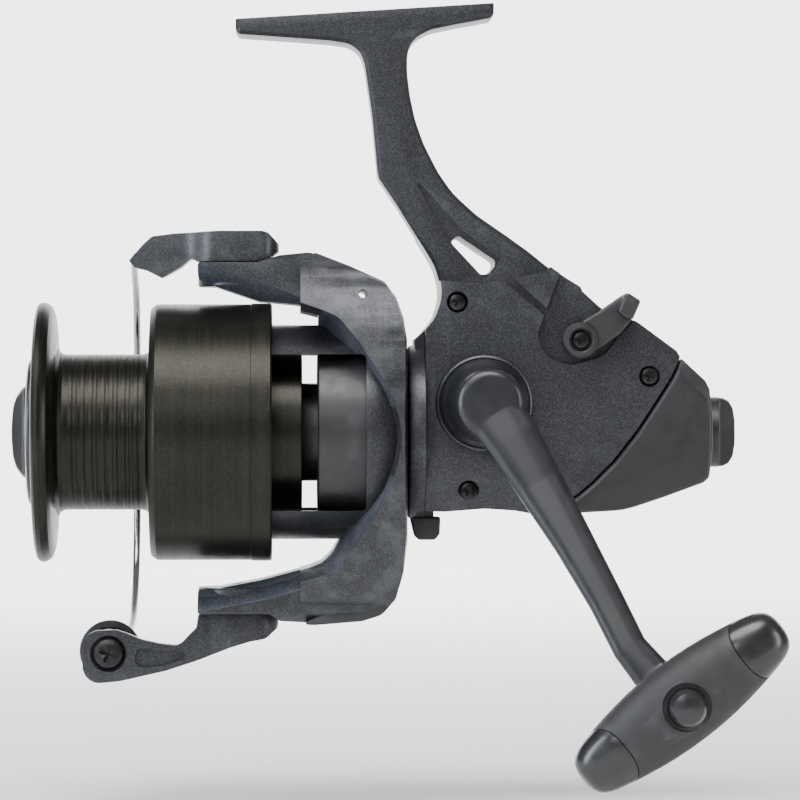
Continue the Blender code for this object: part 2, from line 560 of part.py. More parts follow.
def gears():
    drive = plate("drive_gear", gear_points(DRIVE_TEETH, DRIVE_GEAR_RADIUS), -PINION_TIP - GAP
                  - DRIVE_GEAR_WIDTH, -PINION_TIP - GAP, ZINC, (0, 0, DRIVE_Z))
    cut(drive, rod("gear_bore", DRIVE_SHAFT_RADIUS + GAP, -0.02, 0.02, axis="Y",
                   at=(0, 0, DRIVE_Z)))
    small_tip = LAY_DISTANCE * LAY_TEETH[0] / sum(LAY_TEETH) - 0.0001
    large_tip = LAY_DISTANCE - small_tip - 2 * GAP
    shaft = rod("drive_shaft", DRIVE_SHAFT_RADIUS, -BODY_HALF - 0.0026, BODY_HALF - 0.0010, STEEL,
                "Y", (0, 0, DRIVE_Z), 20)
    join(shaft, plate("small_lay_gear", gear_points(LAY_TEETH[0], small_tip), 0.0066, 0.0090,
                      None, (0, 0, DRIVE_Z)))
    lay = plate("lay_gear", gear_points(LAY_TEETH[1], large_tip), 0.0066, 0.0088, ZINC,
                (LAY_DISTANCE, 0, DRIVE_Z))
    join(lay, rod("lay_stud", STUD_RADIUS, -0.0080, -SLIDER_FACE - GAP, axis="Y",
                  at=(LAY_DISTANCE, 0, DRIVE_Z + STROKE)))
    cut(lay, rod("lay_bore", 0.0020 + RUN, -0.02, 0, axis="Y", at=(LAY_DISTANCE, 0, DRIVE_Z)))
    rod("lay_pivot", 0.0020, -BODY_HALF + WALL + GAP, -0.0062, STEEL, "Y",
        (LAY_DISTANCE, 0, DRIVE_Z))
    pinion = plate("pinion_gear", gear_points(PINION_TEETH, PINION_TIP), PINION_BACK - 0.0085,
                   PINION_BACK, BRASS, turn=TURN["X"])
    join(pinion, rod("pinion_sleeve", PINION_SLEEVE, -0.0440, PINION_BACK - 0.004, steps=24))
    cut(pinion, rod("pinion_bore", SHAFT_RADIUS + RUN, -0.06, 0.02, steps=20))


def rotor():
    outer = [(-0.0734, 0.0437, 0.001), (-0.0523, 0.0437, 0.003), (-0.0440, 0.0452, 0.004),
             (-0.0254, 0.0372, 0.003), (-0.0215, 0.0325, 0.004), (ROTOR_BACK, 0.0240, 0.004),
             (ROTOR_BACK, -0.0280, 0.004), (-0.0215, -0.0400, 0.004), (-0.0262, -0.0452, 0.004),
             (-0.0373, -0.0475, 0.01), (-0.0528, LOWER_BOTTOM, 0.003),
             (-0.0734, LOWER_BOTTOM, 0.001), (-0.0734, -0.0400, 0.002), (-0.0564, -0.0365, 0.006),
             (-0.0430, -0.0325, 0.006), (-0.0361, -0.0264, 0.01), (-0.0289, -0.0120, 0.01),
             (-0.0269, 0, 0.01), (-0.0289, 0.0074, 0.01), (-0.0361, 0.0210, 0.008),
             (-0.0415, 0.0285, 0.006), (-0.0552, 0.0345, 0.006), (-0.0734, 0.0390, 0.002)]
    made = slab("rotor", outer, -ARM_HALF, ARM_HALF, PAINT, 0.0024)
    sweep = rod("spool_sweep", SKIRT_RADIUS + 0.0012, -0.12, SKIRT_BACK + STROKE + 0.0014,
                steps=32)
    cut(made, sweep)
    for k, (low, high) in enumerate(((UPPER_TOP - 0.0060, UPPER_TOP),
                                     (LOWER_BOTTOM, LOWER_BOTTOM + 0.0062))):
        join(made, rod(f"pivot_pad_{k}", PIVOT_PAD, low, high, axis="Z", at=(PIVOT_X, 0, 0),
                       steps=28))
    bowl = turned("rotor_bowl", [(PINION_SLEEVE + RUN, -0.0290), (CUP_RADIUS - CUP_WALL, -0.0290),
                                 (CUP_RADIUS - CUP_WALL, CUP_FRONT), (CUP_RADIUS, CUP_FRONT),
                                 (CUP_RADIUS, -0.0270), (0.0250, -0.0215),
                                 (0.0205, ROTOR_BACK), (PINION_SLEEVE + RUN, ROTOR_BACK)],
                  steps=32)
    join(made, bowl)
    cut(made, rod("rotor_hollow", CUP_RADIUS - CUP_WALL, -0.10, -0.0290, steps=32),
        box("rotor_window", (CUP_FRONT + 0.0040, -0.04, -WINDOW_HALF),
            (-0.0300, 0.04, WINDOW_HALF)),
        rod("rotor_recess", 0.0170, ROTOR_BACK - 0.0030, -0.01, steps=32))
    join(made, rod("rotor_hub", ROTOR_HUB, -0.0350, ROTOR_BACK - 0.0016, steps=24))
    cut(made, rod("hub_bore", PINION_SLEEVE + GAP, -0.06, 0, steps=24),
        rod("rotor_sight_hole", 0.0011, -0.03, 0.03, axis="Y", at=(-0.0310, 0, 0.0355), steps=12))
    for k, (start, end) in enumerate(((UPPER_TOP - 0.0080, UPPER_TOP + 0.001),
                                      (LOWER_BOTTOM - 0.001, LOWER_BOTTOM + 0.0080))):
        cut(made, rod(f"pivot_thread_{k}", 0.0016 + GAP, start, end, axis="Z",
                      at=(PIVOT_X, 0, 0)))
    cut(made, box("spring_pocket", (-0.0520, -0.0034, -0.0550), (-0.0400, 0.0034, -0.0424)))
    upper = [(-0.0440, 0.0457, 0), (-0.0260, 0.0379, 0), (-0.0268, 0.0392, 0.0005),
             (-0.0432, 0.0469, 0.0005)]
    slab("upper_arm_cover", upper, -0.0070, 0.0070, SATIN)
    lower = [(-0.0508, -0.0480, 0), (-0.0375, -0.0480, 0), (-0.0300, -0.0466, 0.001),
             (-0.0300, -0.0478, 0.001), (-0.0370, -0.0494, 0.004), (-0.0498, -0.0494, 0.001)]
    slab("lower_arm_cover", lower, -0.0075, 0.0075, SATIN)
    coil = [(-0.0505 + 0.0090 * k / 48, 0.0016 * math.cos(k * math.tau / 8),
             -0.0448 + 0.0016 * math.sin(k * math.tau / 8)) for k in range(49)]
    tube("bail_spring", coil, 0.00035, STEEL, 0)
    cut(rod("rotor_nut", 0.0068, -0.0410, -0.0353, BRASS, steps=6),
        rod("nut_bore", PINION_SLEEVE + GAP, -0.05, -0.03, steps=24))
    turned("nut_cover", [(PINION_SLEEVE + 0.0010, -0.0435), (0.0120, -0.0435), (0.0127, -0.0425),
                         (0.0127, -0.0293), (0.0112, -0.0293), (0.0112, -0.0413),
                         (PINION_SLEEVE + 0.0010, -0.0413)], SATIN, steps=22)
    ring("rotor_inner_ring", 0.0240, 0.0215, -0.0426, -0.0293, SATIN, steps=32)


def bail():
    pad = [(math.cos(a) * PIVOT_PAD, math.sin(a) * PIVOT_PAD)
           for a in (math.radians(d) for d in range(-120, 121, 20))]
    top = pad + [(-0.0180, 0.0050), (-0.0292, 0.0032), (-0.0292, -0.0032), (-0.0180, -0.0060)]
    made = plate("bail_arm", top, UPPER_TOP + GAP, 0.0518, PAINT, (PIVOT_X, 0, 0),
                 Matrix.Identity(4), 0.0016)
    nose = [(-0.0925, 0.0420, 0.001), (-0.0870, 0.0400, 0.0006), (-0.0800, 0.0445, 0.002),
            (-0.0800, 0.0515, 0), (-0.0860, 0.0500, 0.003)]
    join(made, slab("bail_nose", nose, -0.0034, 0.0034, None, 0.0008))
    cut(made, box("bail_slope", (-0.1050, -0.0200, 0.0480), (-0.0860, 0.0200, 0.0600),
                  turn=Matrix.Rotation(math.radians(-28), 4, "Y")),
        rod("bail_screw_seat", 0.0048 + RUN, 0.0500, 0.06, axis="Z", at=(PIVOT_X, 0, 0), steps=20),
        rod("bail_bore", 0.0016 + RUN, 0.03, 0.06, axis="Z", at=(PIVOT_X, 0, 0)))
    screw("bail_pivot_screw", (PIVOT_X, 0, 0), "Z", 0.0515, -0.0145, SATIN, 0.0044 / 2, 0.0016)
    # the arm starts inside the round pad, so it turns past the cover behind it
    under = [(PIVOT_X - PIVOT_PAD, LOWER_BOTTOM - GAP, 0), (PIVOT_X + 0.0045, LOWER_BOTTOM - GAP, 0),
             (PIVOT_X + 0.0045, -0.0530, 0), (-0.0600, -0.0538, 0), (-0.0650, -0.0554, 0.01),
             (-0.0733, -0.0587, 0.01), (-0.0840, -0.0620, 0.01), (-0.0934, -0.0640, 0.004),
             (-0.0990, -0.0610, 0.0055), (-0.0990, -0.0540, 0.0055), (-0.0940, -0.0510, 0.004),
             (-0.0830, -0.0538, 0.01), (-0.0780, -0.0550, 0.006)]
    lower = slab("roller_arm", under, -0.0090, -0.0052, PAINT, 0.0009)
    join(lower, rod("roller_arm_pad", PIVOT_PAD - 0.0004, -0.0530, LOWER_BOTTOM - GAP, axis="Z",
                    at=(PIVOT_X, 0, 0), steps=28))
    cut(lower, rod("roller_screw_hole", 0.0016 + RUN, -0.02, 0.0, axis="Y",
                   at=(ROLLER_X, 0, ROLLER_Z), steps=12),
        rod("roller_screw_seat", 0.0044 + RUN, -0.02, -0.0071, axis="Y",
            at=(ROLLER_X, 0, ROLLER_Z), steps=20),
        rod("arm_screw_seat", 0.0046, -0.07, -0.0515, axis="Z", at=(PIVOT_X, 0, 0), steps=20),
        rod("arm_bore", 0.0016 + RUN, -0.07, -0.04, axis="Z", at=(PIVOT_X, 0, 0)))
    screw("roller_arm_screw", (PIVOT_X, 0, 0), "Z", -0.0535, 0.0140, SATIN, 0.0022, 0.0016)
    at = (ROLLER_X, 0, ROLLER_Z)
    screw("roller_screw", at, "Y", -0.0096, 0.0175, SATIN, 0.0042, 0.0016)
    half = ROLLER_LENGTH / 2
    middle = -0.0010
    ring("roller_bushing", 0.0030, 0.0016 + GAP, middle - half, middle + half, NYLON, "Y", at, 16)
    turned("line_roller", [(0.0030 + RUN, middle - half), (0.0030 + RUN, middle + half),
                           (0.0064, middle + half), (0.0060, middle + half - 0.0008),
                           (0.0044, middle + half - 0.0026), (ROLLER_RADIUS - 0.0004, middle - half
                                                             + 0.0010),
                           (ROLLER_RADIUS + 0.0008, middle - half)], STEEL, "Y", at, 20)
    bore = 0.0016 + GAP
    turned("wire_cone", [(bore, middle + half + GAP), (bore, 0.0098), (0.0040, 0.0098),
                         (0.0070, 0.0074), (0.0080, 0.0044), (0.0080, middle + half + GAP)],
           SATIN, "Y", at, 20)
    anchors = [Vector(p) for p in ((-0.0893, 0.0040, 0.0450), (-0.0903, 0.0150, 0.0463),
                                   (-0.0912, 0.0300, 0.0458), (-0.0915, 0.0450, 0.0416))]
    # the middle is an arc about the main shaft, long enough to pass the lip
    for degrees in (33, 22, 11, 0, -11, -22, -33):
        turn = math.radians(degrees)
        anchors.append(Vector((-0.0915, WIRE_REACH * math.cos(turn), WIRE_REACH * math.sin(turn))))
    anchors += [Vector(p) for p in ((-0.0915, 0.0440, -0.0455), (-0.0918, 0.0290, -0.0518),
                                    (-0.0930, 0.0170, -0.0545), (-0.0955, 0.0105, -0.0554))]
    route = []
    for k in range(len(anchors) - 1):
        a, b = anchors[max(k - 1, 0)], anchors[k]
        c, d = anchors[k + 1], anchors[min(k + 2, len(anchors) - 1)]
        for step in range(3):
            t = step / 3
            route.append(0.5 * (2 * b + (c - a) * t + (2 * a - 5 * b + 4 * c - d) * t ** 2
                                + (3 * b - a - 3 * c + d) * t ** 3))
    tube("bail_wire", route + anchors[-1:], WIRE_RADIUS, STEEL, 1)


def spool_group():
    skirt_inside = SKIRT_RADIUS - SKIRT_WALL
    web = ARBOR_BACK + 0.0030
    profile = [(SPOOL_BORE, DRAG_FLOOR), (SPOOL_BORE, DRAG_FLOOR + 0.0060),
               (HUB_RADIUS - 0.0024, DRAG_FLOOR + 0.0060), (HUB_RADIUS - 0.0024, HUB_BACK),
               (HUB_RADIUS, HUB_BACK), (HUB_RADIUS, web), (skirt_inside, web),
               (skirt_inside, SKIRT_BACK), (SKIRT_RADIUS, SKIRT_BACK),
               (SKIRT_RADIUS, ARBOR_BACK + 0.0020), (SKIRT_RADIUS - 0.0016, ARBOR_BACK),
               (ARBOR_RADIUS + 0.0022, ARBOR_BACK), (ARBOR_RADIUS, ARBOR_BACK - 0.0020),
               (ARBOR_RADIUS, ARBOR_FRONT + 0.0015), (ARBOR_RADIUS + 0.0025, ARBOR_FRONT),
               (LIP_RADIUS - 0.0030, ARBOR_FRONT - 0.0008), (LIP_RADIUS - 0.0004, ARBOR_FRONT
                                                            - 0.0022),
               (LIP_RADIUS, ARBOR_FRONT - 0.0036), (LIP_RADIUS - 0.0012, LIP_FRONT),
               (DRAG_BORE, LIP_FRONT), (DRAG_BORE, DRAG_FLOOR)]
    turned("spool", profile, ANODISED, steps=32)
    place_x = DRAG_FLOOR - GAP
    for k in range(5):
        name = "drag_felt" if k % 2 == 0 else "drag_plate"
        ring(f"{name}_{k // 2 + 1}", DRAG_BORE - RUN, SHAFT_RADIUS + RUN, place_x - DRAG_WASHER,
             place_x, FELT if k % 2 == 0 else STEEL)
        place_x -= DRAG_WASHER + GAP
    ring("drag_clip", DRAG_BORE - RUN, 0.0110, place_x - 0.0008, place_x, STEEL)
    ring("spool_front_ring", FRONT_RING_RADIUS, DRAG_KNOB_RADIUS + RUN, LIP_FRONT - GAP - 0.0019,
         LIP_FRONT - GAP, GLOSS, steps=32)
    knob = turned("drag_knob", [(0, DRAG_KNOB_FRONT), (0.0060, DRAG_KNOB_FRONT),
                                (0.0108, DRAG_KNOB_FRONT + 0.0018),
                                (DRAG_KNOB_RADIUS, LIP_FRONT - 0.0028),
                                (DRAG_KNOB_RADIUS, -0.1110), (DRAG_KNOB_RADIUS - 0.0020, -0.1110),
                                (DRAG_KNOB_RADIUS - 0.0020, -0.1160), (0.0042, -0.1160),
                                (0.0042, -0.1060), (SHAFT_RADIUS + RUN, -0.1060),
                                (SHAFT_RADIUS + RUN, SHAFT_FRONT - 0.0006),
                                (0, SHAFT_FRONT - 0.0006)], SATIN, steps=32)
    for side in (-1, 1):
        cut(knob, box(f"knob_side_{side}", (DRAG_KNOB_FRONT - 0.01, 0.0092 * side - 0.0050, -0.02),
                      (DRAG_KNOB_FRONT + 0.0034, 0.0092 * side + 0.0050, 0.02)))
    coil = [(-0.1146 + 0.0080 * k / 40, 0.0062 * math.cos(k * math.tau / 8),
             0.0062 * math.sin(k * math.tau / 8)) for k in range(41)]
    tube("drag_spring", coil, 0.0004, STEEL, 0)


def handle_group():
    base = -BODY_HALF - 0.0032 - 0.0004
    hub = turned("crank", [(DRIVE_SHAFT_RADIUS + GAP, base), (CRANK_BASE_RADIUS, base),
                           (CRANK_BASE_RADIUS, base - 0.0014), (CRANK_HUB_RADIUS, base - 0.0060),
                           (CRANK_HUB_RADIUS - 0.0006, CRANK_ROOT_Y - 0.0040), (0, CRANK_ROOT_Y - 0.0046),
                           (0, -0.0260), (DRIVE_SHAFT_RADIUS + GAP, -0.0260)], SATIN, "Y",
                 (0, 0, DRIVE_Z), 28)
    root, eye = Vector((0, CRANK_ROOT_Y, DRIVE_Z)), Vector(CRANK_EYE)
    along = (eye - root).normalized()
    across = along.cross(Vector((0, -1, 0))).normalized()
    outward = along.cross(across)
    frame = Matrix((along, across, outward)).transposed().to_4x4()
    reach = (eye - root).length
    arm = [(-0.0030, -CRANK_WIDTH / 2 - 0.0012), (reach, -CRANK_WIDTH / 2 + 0.0004),
           (reach, CRANK_WIDTH / 2 - 0.0004), (-0.0030, CRANK_WIDTH / 2 + 0.0012)]
    join(hub, plate("crank_arm", [Vector(p) for p in arm], -CRANK_THICKNESS / 2,
                    CRANK_THICKNESS / 2, None, root, frame, 0.0012))
    at = (eye.x, 0, eye.z)
    join(hub, rod("crank_eye", EYE_RADIUS, eye.y - 0.0030, eye.y + 0.0034, axis="Y", at=at,
                  steps=28))
    cut(hub, rod("eye_bore", SPINDLE_RADIUS + GAP, eye.y - 0.01, eye.y + 0.01, axis="Y", at=at))
    rod("knob_spindle", SPINDLE_RADIUS, GRIP_Y - 0.0064, eye.y + 0.0032, STEEL, "Y", at)
    body = GRIP_HALF - GRIP_CAP
    across_grip = Matrix.Rotation(math.pi / 2 - GRIP_TILT, 4, "Y")
    grip = turned("knob_grip", [(0, -body), (GRIP_TIP_RADIUS + 0.0008, -body),
                                (GRIP_RADIUS - 0.0008, -body * 0.4), (GRIP_RADIUS, 0),
                                (GRIP_RADIUS - 0.0008, body * 0.4),
                                (GRIP_TIP_RADIUS + 0.0008, body), (0, body)], GRIP,
                  at=(eye.x, GRIP_Y, eye.z), steps=24)
    grip.matrix_basis = Matrix.Translation((eye.x, GRIP_Y, eye.z)) @ across_grip
    join(grip, rod("knob_neck", 0.0076, GRIP_Y, eye.y - 0.0030 - RUN, axis="Y", at=at, steps=24))
    cut(grip, rod("grip_bore", 0.0042 + GAP, -0.15, 0, axis="Y", at=at, steps=20),
        rod("button_seat", BUTTON_RADIUS + GAP, -0.15, GRIP_Y - 0.0076, axis="Y", at=at, steps=20))
    for side, name in ((-1, "knob_tip_lower"), (1, "knob_tip_upper")):
        near = side * (body + GAP)
        tip = turned(name, [(0, near), (GRIP_TIP_RADIUS + 0.0007, near),
                            (GRIP_TIP_RADIUS, side * (GRIP_HALF - 0.0042)),
                            (GRIP_TIP_RADIUS * 0.7, side * (GRIP_HALF - 0.0012)),
                            (0, side * GRIP_HALF)], GLOSS, steps=24)
        tip.matrix_basis = Matrix.Translation((eye.x, GRIP_Y, eye.z)) @ across_grip
    for name, start in (("knob_bushing_inner", eye.y - 0.0040 - 0.0030),
                        ("knob_bushing_outer", GRIP_Y - 0.0030)):
        ring(name, 0.0042, SPINDLE_RADIUS + RUN, start - 0.0030, start, BRASS, "Y", at, 16)
    turned("knob_button", [(0, GRIP_Y - 0.0130), (0.0030, GRIP_Y - 0.0126),
                           (BUTTON_RADIUS, GRIP_Y - 0.0110), (BUTTON_RADIUS, GRIP_Y - 0.0079),
                           (0, GRIP_Y - 0.0079)], GLOSS, "Y", at, 24)


housing()
side_cover()
rear_cover()
housing_hardware()
levers()
shaft_group()
gears()
rotor()
bail()
spool_group()
handle_group()
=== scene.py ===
import math

import bpy
from mathutils import Matrix, Vector


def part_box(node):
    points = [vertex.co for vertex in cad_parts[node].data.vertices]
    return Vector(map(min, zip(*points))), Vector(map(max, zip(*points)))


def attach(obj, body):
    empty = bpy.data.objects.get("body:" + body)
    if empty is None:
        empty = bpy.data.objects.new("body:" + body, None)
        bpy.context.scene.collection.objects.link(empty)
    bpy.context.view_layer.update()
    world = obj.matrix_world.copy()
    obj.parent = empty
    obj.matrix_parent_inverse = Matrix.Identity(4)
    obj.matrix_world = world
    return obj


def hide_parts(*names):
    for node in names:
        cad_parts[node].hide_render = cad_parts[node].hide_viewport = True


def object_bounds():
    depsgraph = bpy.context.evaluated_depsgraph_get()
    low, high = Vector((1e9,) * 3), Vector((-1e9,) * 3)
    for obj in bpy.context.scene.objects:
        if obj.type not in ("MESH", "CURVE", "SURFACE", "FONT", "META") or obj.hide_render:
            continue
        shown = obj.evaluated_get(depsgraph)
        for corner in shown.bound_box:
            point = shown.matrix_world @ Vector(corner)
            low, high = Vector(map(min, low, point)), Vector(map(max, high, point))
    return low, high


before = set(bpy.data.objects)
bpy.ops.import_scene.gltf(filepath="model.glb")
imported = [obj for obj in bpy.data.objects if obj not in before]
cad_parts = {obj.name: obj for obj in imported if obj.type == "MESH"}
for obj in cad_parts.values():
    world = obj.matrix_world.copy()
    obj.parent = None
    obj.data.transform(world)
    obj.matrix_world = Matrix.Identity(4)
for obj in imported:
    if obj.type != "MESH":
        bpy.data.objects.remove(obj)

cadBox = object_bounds()
mm = 0.001

# the shaft line and the handle line, taken from the CAD nodes; outlines below are in mm from where they pass
shaftLow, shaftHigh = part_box("main_shaft")
gearLow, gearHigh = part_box("drive_gear")
reelX = (gearLow.x + gearHigh.x) / 2
reelZ = (shaftLow.z + shaftHigh.z) / 2


def at(x, y, z):  # mm on the reel to metres in the frame
    return Vector((reelX + x * mm, y * mm, reelZ + z * mm))


# points in mm that several pieces share
shaftPoint = at(0, 0, 0)
handleZ = 7.5
pivotX = -62.9  # both arms fold about Z here
rollerX, rollerZ = -96.4, -57
leverX, leverZ = 24.6, 23.6
coverScrews = ((-6.8, 33.4), (42.5, 14.4), (-3.9, -15))
slotTurn = 0.35
thinnest = 0.0005  # a ring on the axis is this wide until the mesh is tidied
axisTurn = {"X": Matrix.Rotation(math.pi / 2, 4, "Y"), "Y": Matrix.Rotation(-math.pi / 2, 4, "X"),
    "Z": Matrix.Identity(4)}


# modelling helpers

def setMode(kind):
    bpy.ops.object.mode_set(mode=kind)


def clearSelection():
    if bpy.context.object and bpy.context.object.mode != "OBJECT":
        setMode("OBJECT")
    bpy.ops.object.select_all(action="DESELECT")


def activate(piece):
    clearSelection()
    piece.select_set(True)
    bpy.context.view_layer.objects.active = piece


def applyModifier(piece, kind, **values):
    activate(piece)
    modifier = piece.modifiers.new(kind, kind)
    for key, value in values.items():
        setattr(modifier, key, value)
    bpy.ops.object.modifier_apply(modifier=modifier.name)
    return piece


def settle(piece, turn=None, place=None):  # place goes into the mesh, the object stays at the origin
    activate(piece)
    if turn is not None:
        piece.data.transform(turn.to_4x4())
    if place is not None:
        piece.data.transform(Matrix.Translation(place))
    bpy.ops.object.transform_apply(location=True, rotation=True, scale=True)
    return piece


def tidyMesh(piece, distance=0.000002):
    activate(piece)
    setMode("EDIT")
    bpy.ops.mesh.select_all(action="SELECT")
    bpy.ops.mesh.remove_doubles(threshold=distance)
    bpy.ops.mesh.normals_make_consistent(inside=False)
    setMode("OBJECT")
    return piece


def smoothEdges(piece, degrees=32):
    activate(piece)
    bpy.ops.object.shade_smooth_by_angle(angle=math.radians(degrees))
    return piece


def edgeBevel(piece, width, segments=3, degrees=30):
    return applyModifier(piece, "BEVEL", width=width * mm, segments=segments, limit_method="ANGLE",
        angle_limit=math.radians(degrees), use_clamp_overlap=True)


def combine(piece, other, operation="DIFFERENCE"):
    activate(piece)
    modifier = piece.modifiers.new("combine", "BOOLEAN")
    modifier.operation = operation
    modifier.solver = "MANIFOLD"
    modifier.object = other
    bpy.ops.object.modifier_apply(modifier=modifier.name)
    bpy.data.objects.remove(other, do_unlink=True)
    return piece


def filleted(corners, arcStep=10):  # (x, z, fillet radius) in mm to a smooth run of points
    points = []
    for i, (x, z, radius) in enumerate(corners):
        here = Vector((x, z))
        before = Vector(corners[i - 1][:2]) - here
        after = Vector(corners[(i + 1) % len(corners)][:2]) - here
        angle = before.angle(after)
        if radius == 0 or angle > math.radians(176):
            points.append(here)
            continue
        reach = min(radius / math.tan(angle / 2), before.length * 0.49, after.length * 0.49)
        radius = reach * math.tan(angle / 2)
        start, end = here + before.normalized() * reach, here + after.normalized() * reach
        inward = (before.normalized() + after.normalized()).normalized()
        middle = here + inward * (radius / math.sin(angle / 2))
        count = max(2, math.ceil(math.degrees(math.pi - angle) / arcStep))
        for k in range(count + 1):
            points.append(middle + (start.lerp(end, k / count) - middle).normalized() * radius)
    return points


def sidePlate(name, corners, near, far, arcStep=10, plane="side"):
    # a flat outline drawn as a curve and made a mesh
    # side: x and z, near and far along Y; top: x and y, near and far along Z
    points = filleted(corners, arcStep)
    curve = bpy.data.curves.new(name, "CURVE")
    curve.dimensions = "2D"
    curve.fill_mode = "BOTH"
    curve.extrude = abs(far - near) / 2 * mm
    spline = curve.splines.new("POLY")
    spline.points.add(len(points) - 1)
    for target, point in zip(spline.points, points):
        target.co = (point.x * mm, point.y * mm, 0, 1)
    spline.use_cyclic_u = True
    piece = bpy.data.objects.new(name, curve)
    bpy.context.scene.collection.objects.link(piece)
    activate(piece)
    bpy.ops.object.convert(target="MESH")
    piece = bpy.context.object
    if plane == "side":
        settle(piece, Matrix.Rotation(math.pi / 2, 4, "X"), at(0, (near + far) / 2, 0))
    else:
        settle(piece, None, at(0, 0, (near + far) / 2))
    tidyMesh(piece)
    applyModifier(piece, "DECIMATE", decimate_type="DISSOLVE", angle_limit=0.002)
    return piece


def lathe(name, profile, centre=shaftPoint, axis="X", sides=96, closed=False):
    # a ring at the profile's first point, extruded and resized ring by ring; (radius, along) in mm
    clearSelection()
    firstRadius, firstPlace = profile[0]
    bpy.ops.mesh.primitive_circle_add(vertices=sides, radius=max(firstRadius, thinnest) * mm,
        location=(0, 0, firstPlace * mm))
    piece = bpy.context.object
    piece.name = piece.data.name = name
    bpy.ops.object.transform_apply(location=True)
    setMode("EDIT")
    bpy.ops.mesh.select_all(action="SELECT")
    radius, place = max(firstRadius, thinnest), firstPlace
    for nextRadius, nextPlace in profile[1:] + (profile[:1] if closed else []):
        nextRadius = max(nextRadius, thinnest)
        bpy.ops.mesh.extrude_region_move(TRANSFORM_OT_translate={"value": (0, 0,
            (nextPlace - place) * mm)})
        scale = nextRadius / radius
        bpy.ops.transform.resize(value=(scale, scale, 1), center_override=(0, 0, nextPlace * mm))
        radius, place = nextRadius, nextPlace
    setMode("OBJECT")
    settle(piece, axisTurn[axis], centre)
    return tidyMesh(piece)


def wire(name, points, radius, sides=4, steps=10):  # a smooth wire through points in mm
    curve = bpy.data.curves.new(name, "CURVE")
    curve.dimensions = "3D"
    curve.bevel_depth = radius * mm
    curve.bevel_resolution = sides
    curve.resolution_u = steps
    curve.use_fill_caps = True
    spline = curve.splines.new("BEZIER")
    spline.bezier_points.add(len(points) - 1)
    for target, point in zip(spline.bezier_points, points):
        target.co = at(*point)
        target.handle_left_type = target.handle_right_type = "AUTO"
    piece = bpy.data.objects.new(name, curve)
    bpy.context.scene.collection.objects.link(piece)
    activate(piece)
    bpy.ops.object.convert(target="MESH")
    return tidyMesh(bpy.context.object)


def chain(name, sections, square=0.5, sides=24):
    # a closed form grown section by section: (centre mm, half width along v, half depth along w, v, w)
    clearSelection()
    bpy.ops.mesh.primitive_circle_add(vertices=sides, radius=1, fill_type="NGON")
    piece = bpy.context.object
    piece.name = piece.data.name = name
    setMode("EDIT")
    for _ in sections[1:]:
        bpy.ops.mesh.extrude_region_move(TRANSFORM_OT_translate={"value": (0, 0, 1)})
    setMode("OBJECT")
    rings = sorted(range(len(piece.data.vertices)), key=lambda i: round(piece.data.vertices[i].co.z))
    for index in rings:
        vertex = piece.data.vertices[index]
        level = round(vertex.co.z)
        centre, halfV, halfW, v, w = sections[level]
        angle = math.atan2(vertex.co.y, vertex.co.x)
        c, s = math.cos(angle), math.sin(angle)
        c, s = math.copysign(abs(c) ** square, c), math.copysign(abs(s) ** square, s)
        vertex.co = at(*centre) + (Vector(v) * halfV * c + Vector(w) * halfW * s) * mm
    return tidyMesh(piece)


def show(piece, material, body, *replaced, degrees=32):
    smoothEdges(piece, degrees)
    piece.data.materials.clear()
    piece.data.materials.append(material)
    if replaced:
        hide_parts(*replaced)
    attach(piece, body)
    return piece


# shared shader groups

def newGroup(name, inputs, outputs):
    group = bpy.data.node_groups.new(name, "ShaderNodeTree")
    for label, kind, value in inputs:
        socket = group.interface.new_socket(name=label, in_out="INPUT", socket_type="NodeSocket" + kind)
        if value is not None:
            socket.default_value = value
    for label, kind in outputs:
        group.interface.new_socket(name=label, in_out="OUTPUT", socket_type="NodeSocket" + kind)
    return group, group.nodes.new("NodeGroupInput"), group.nodes.new("NodeGroupOutput")


def addNode(tree, kind, **values):
    node = tree.nodes.new("ShaderNode" + kind)
    for key, value in values.items():
        setattr(node, key, value)
    return node


def join(tree, start, output, end, entry):
    tree.links.new(start.outputs[output], end.inputs[entry])


def addNoise(tree, detail, scale=5.0):
    noise = addNode(tree, "TexNoise")
    noise.inputs["Scale"].default_value = scale
    noise.inputs["Detail"].default_value = detail
    return noise


def rampBetween(tree, source, output, low, high, lowValue=0.0, highValue=1.0):
    ramp = addNode(tree, "MapRange")
    join(tree, source, output, ramp, "Value")
    ramp.inputs["From Min"].default_value = low
    ramp.inputs["From Max"].default_value = high
    ramp.inputs["To Min"].default_value = lowValue
    ramp.inputs["To Max"].default_value = highValue
    return ramp


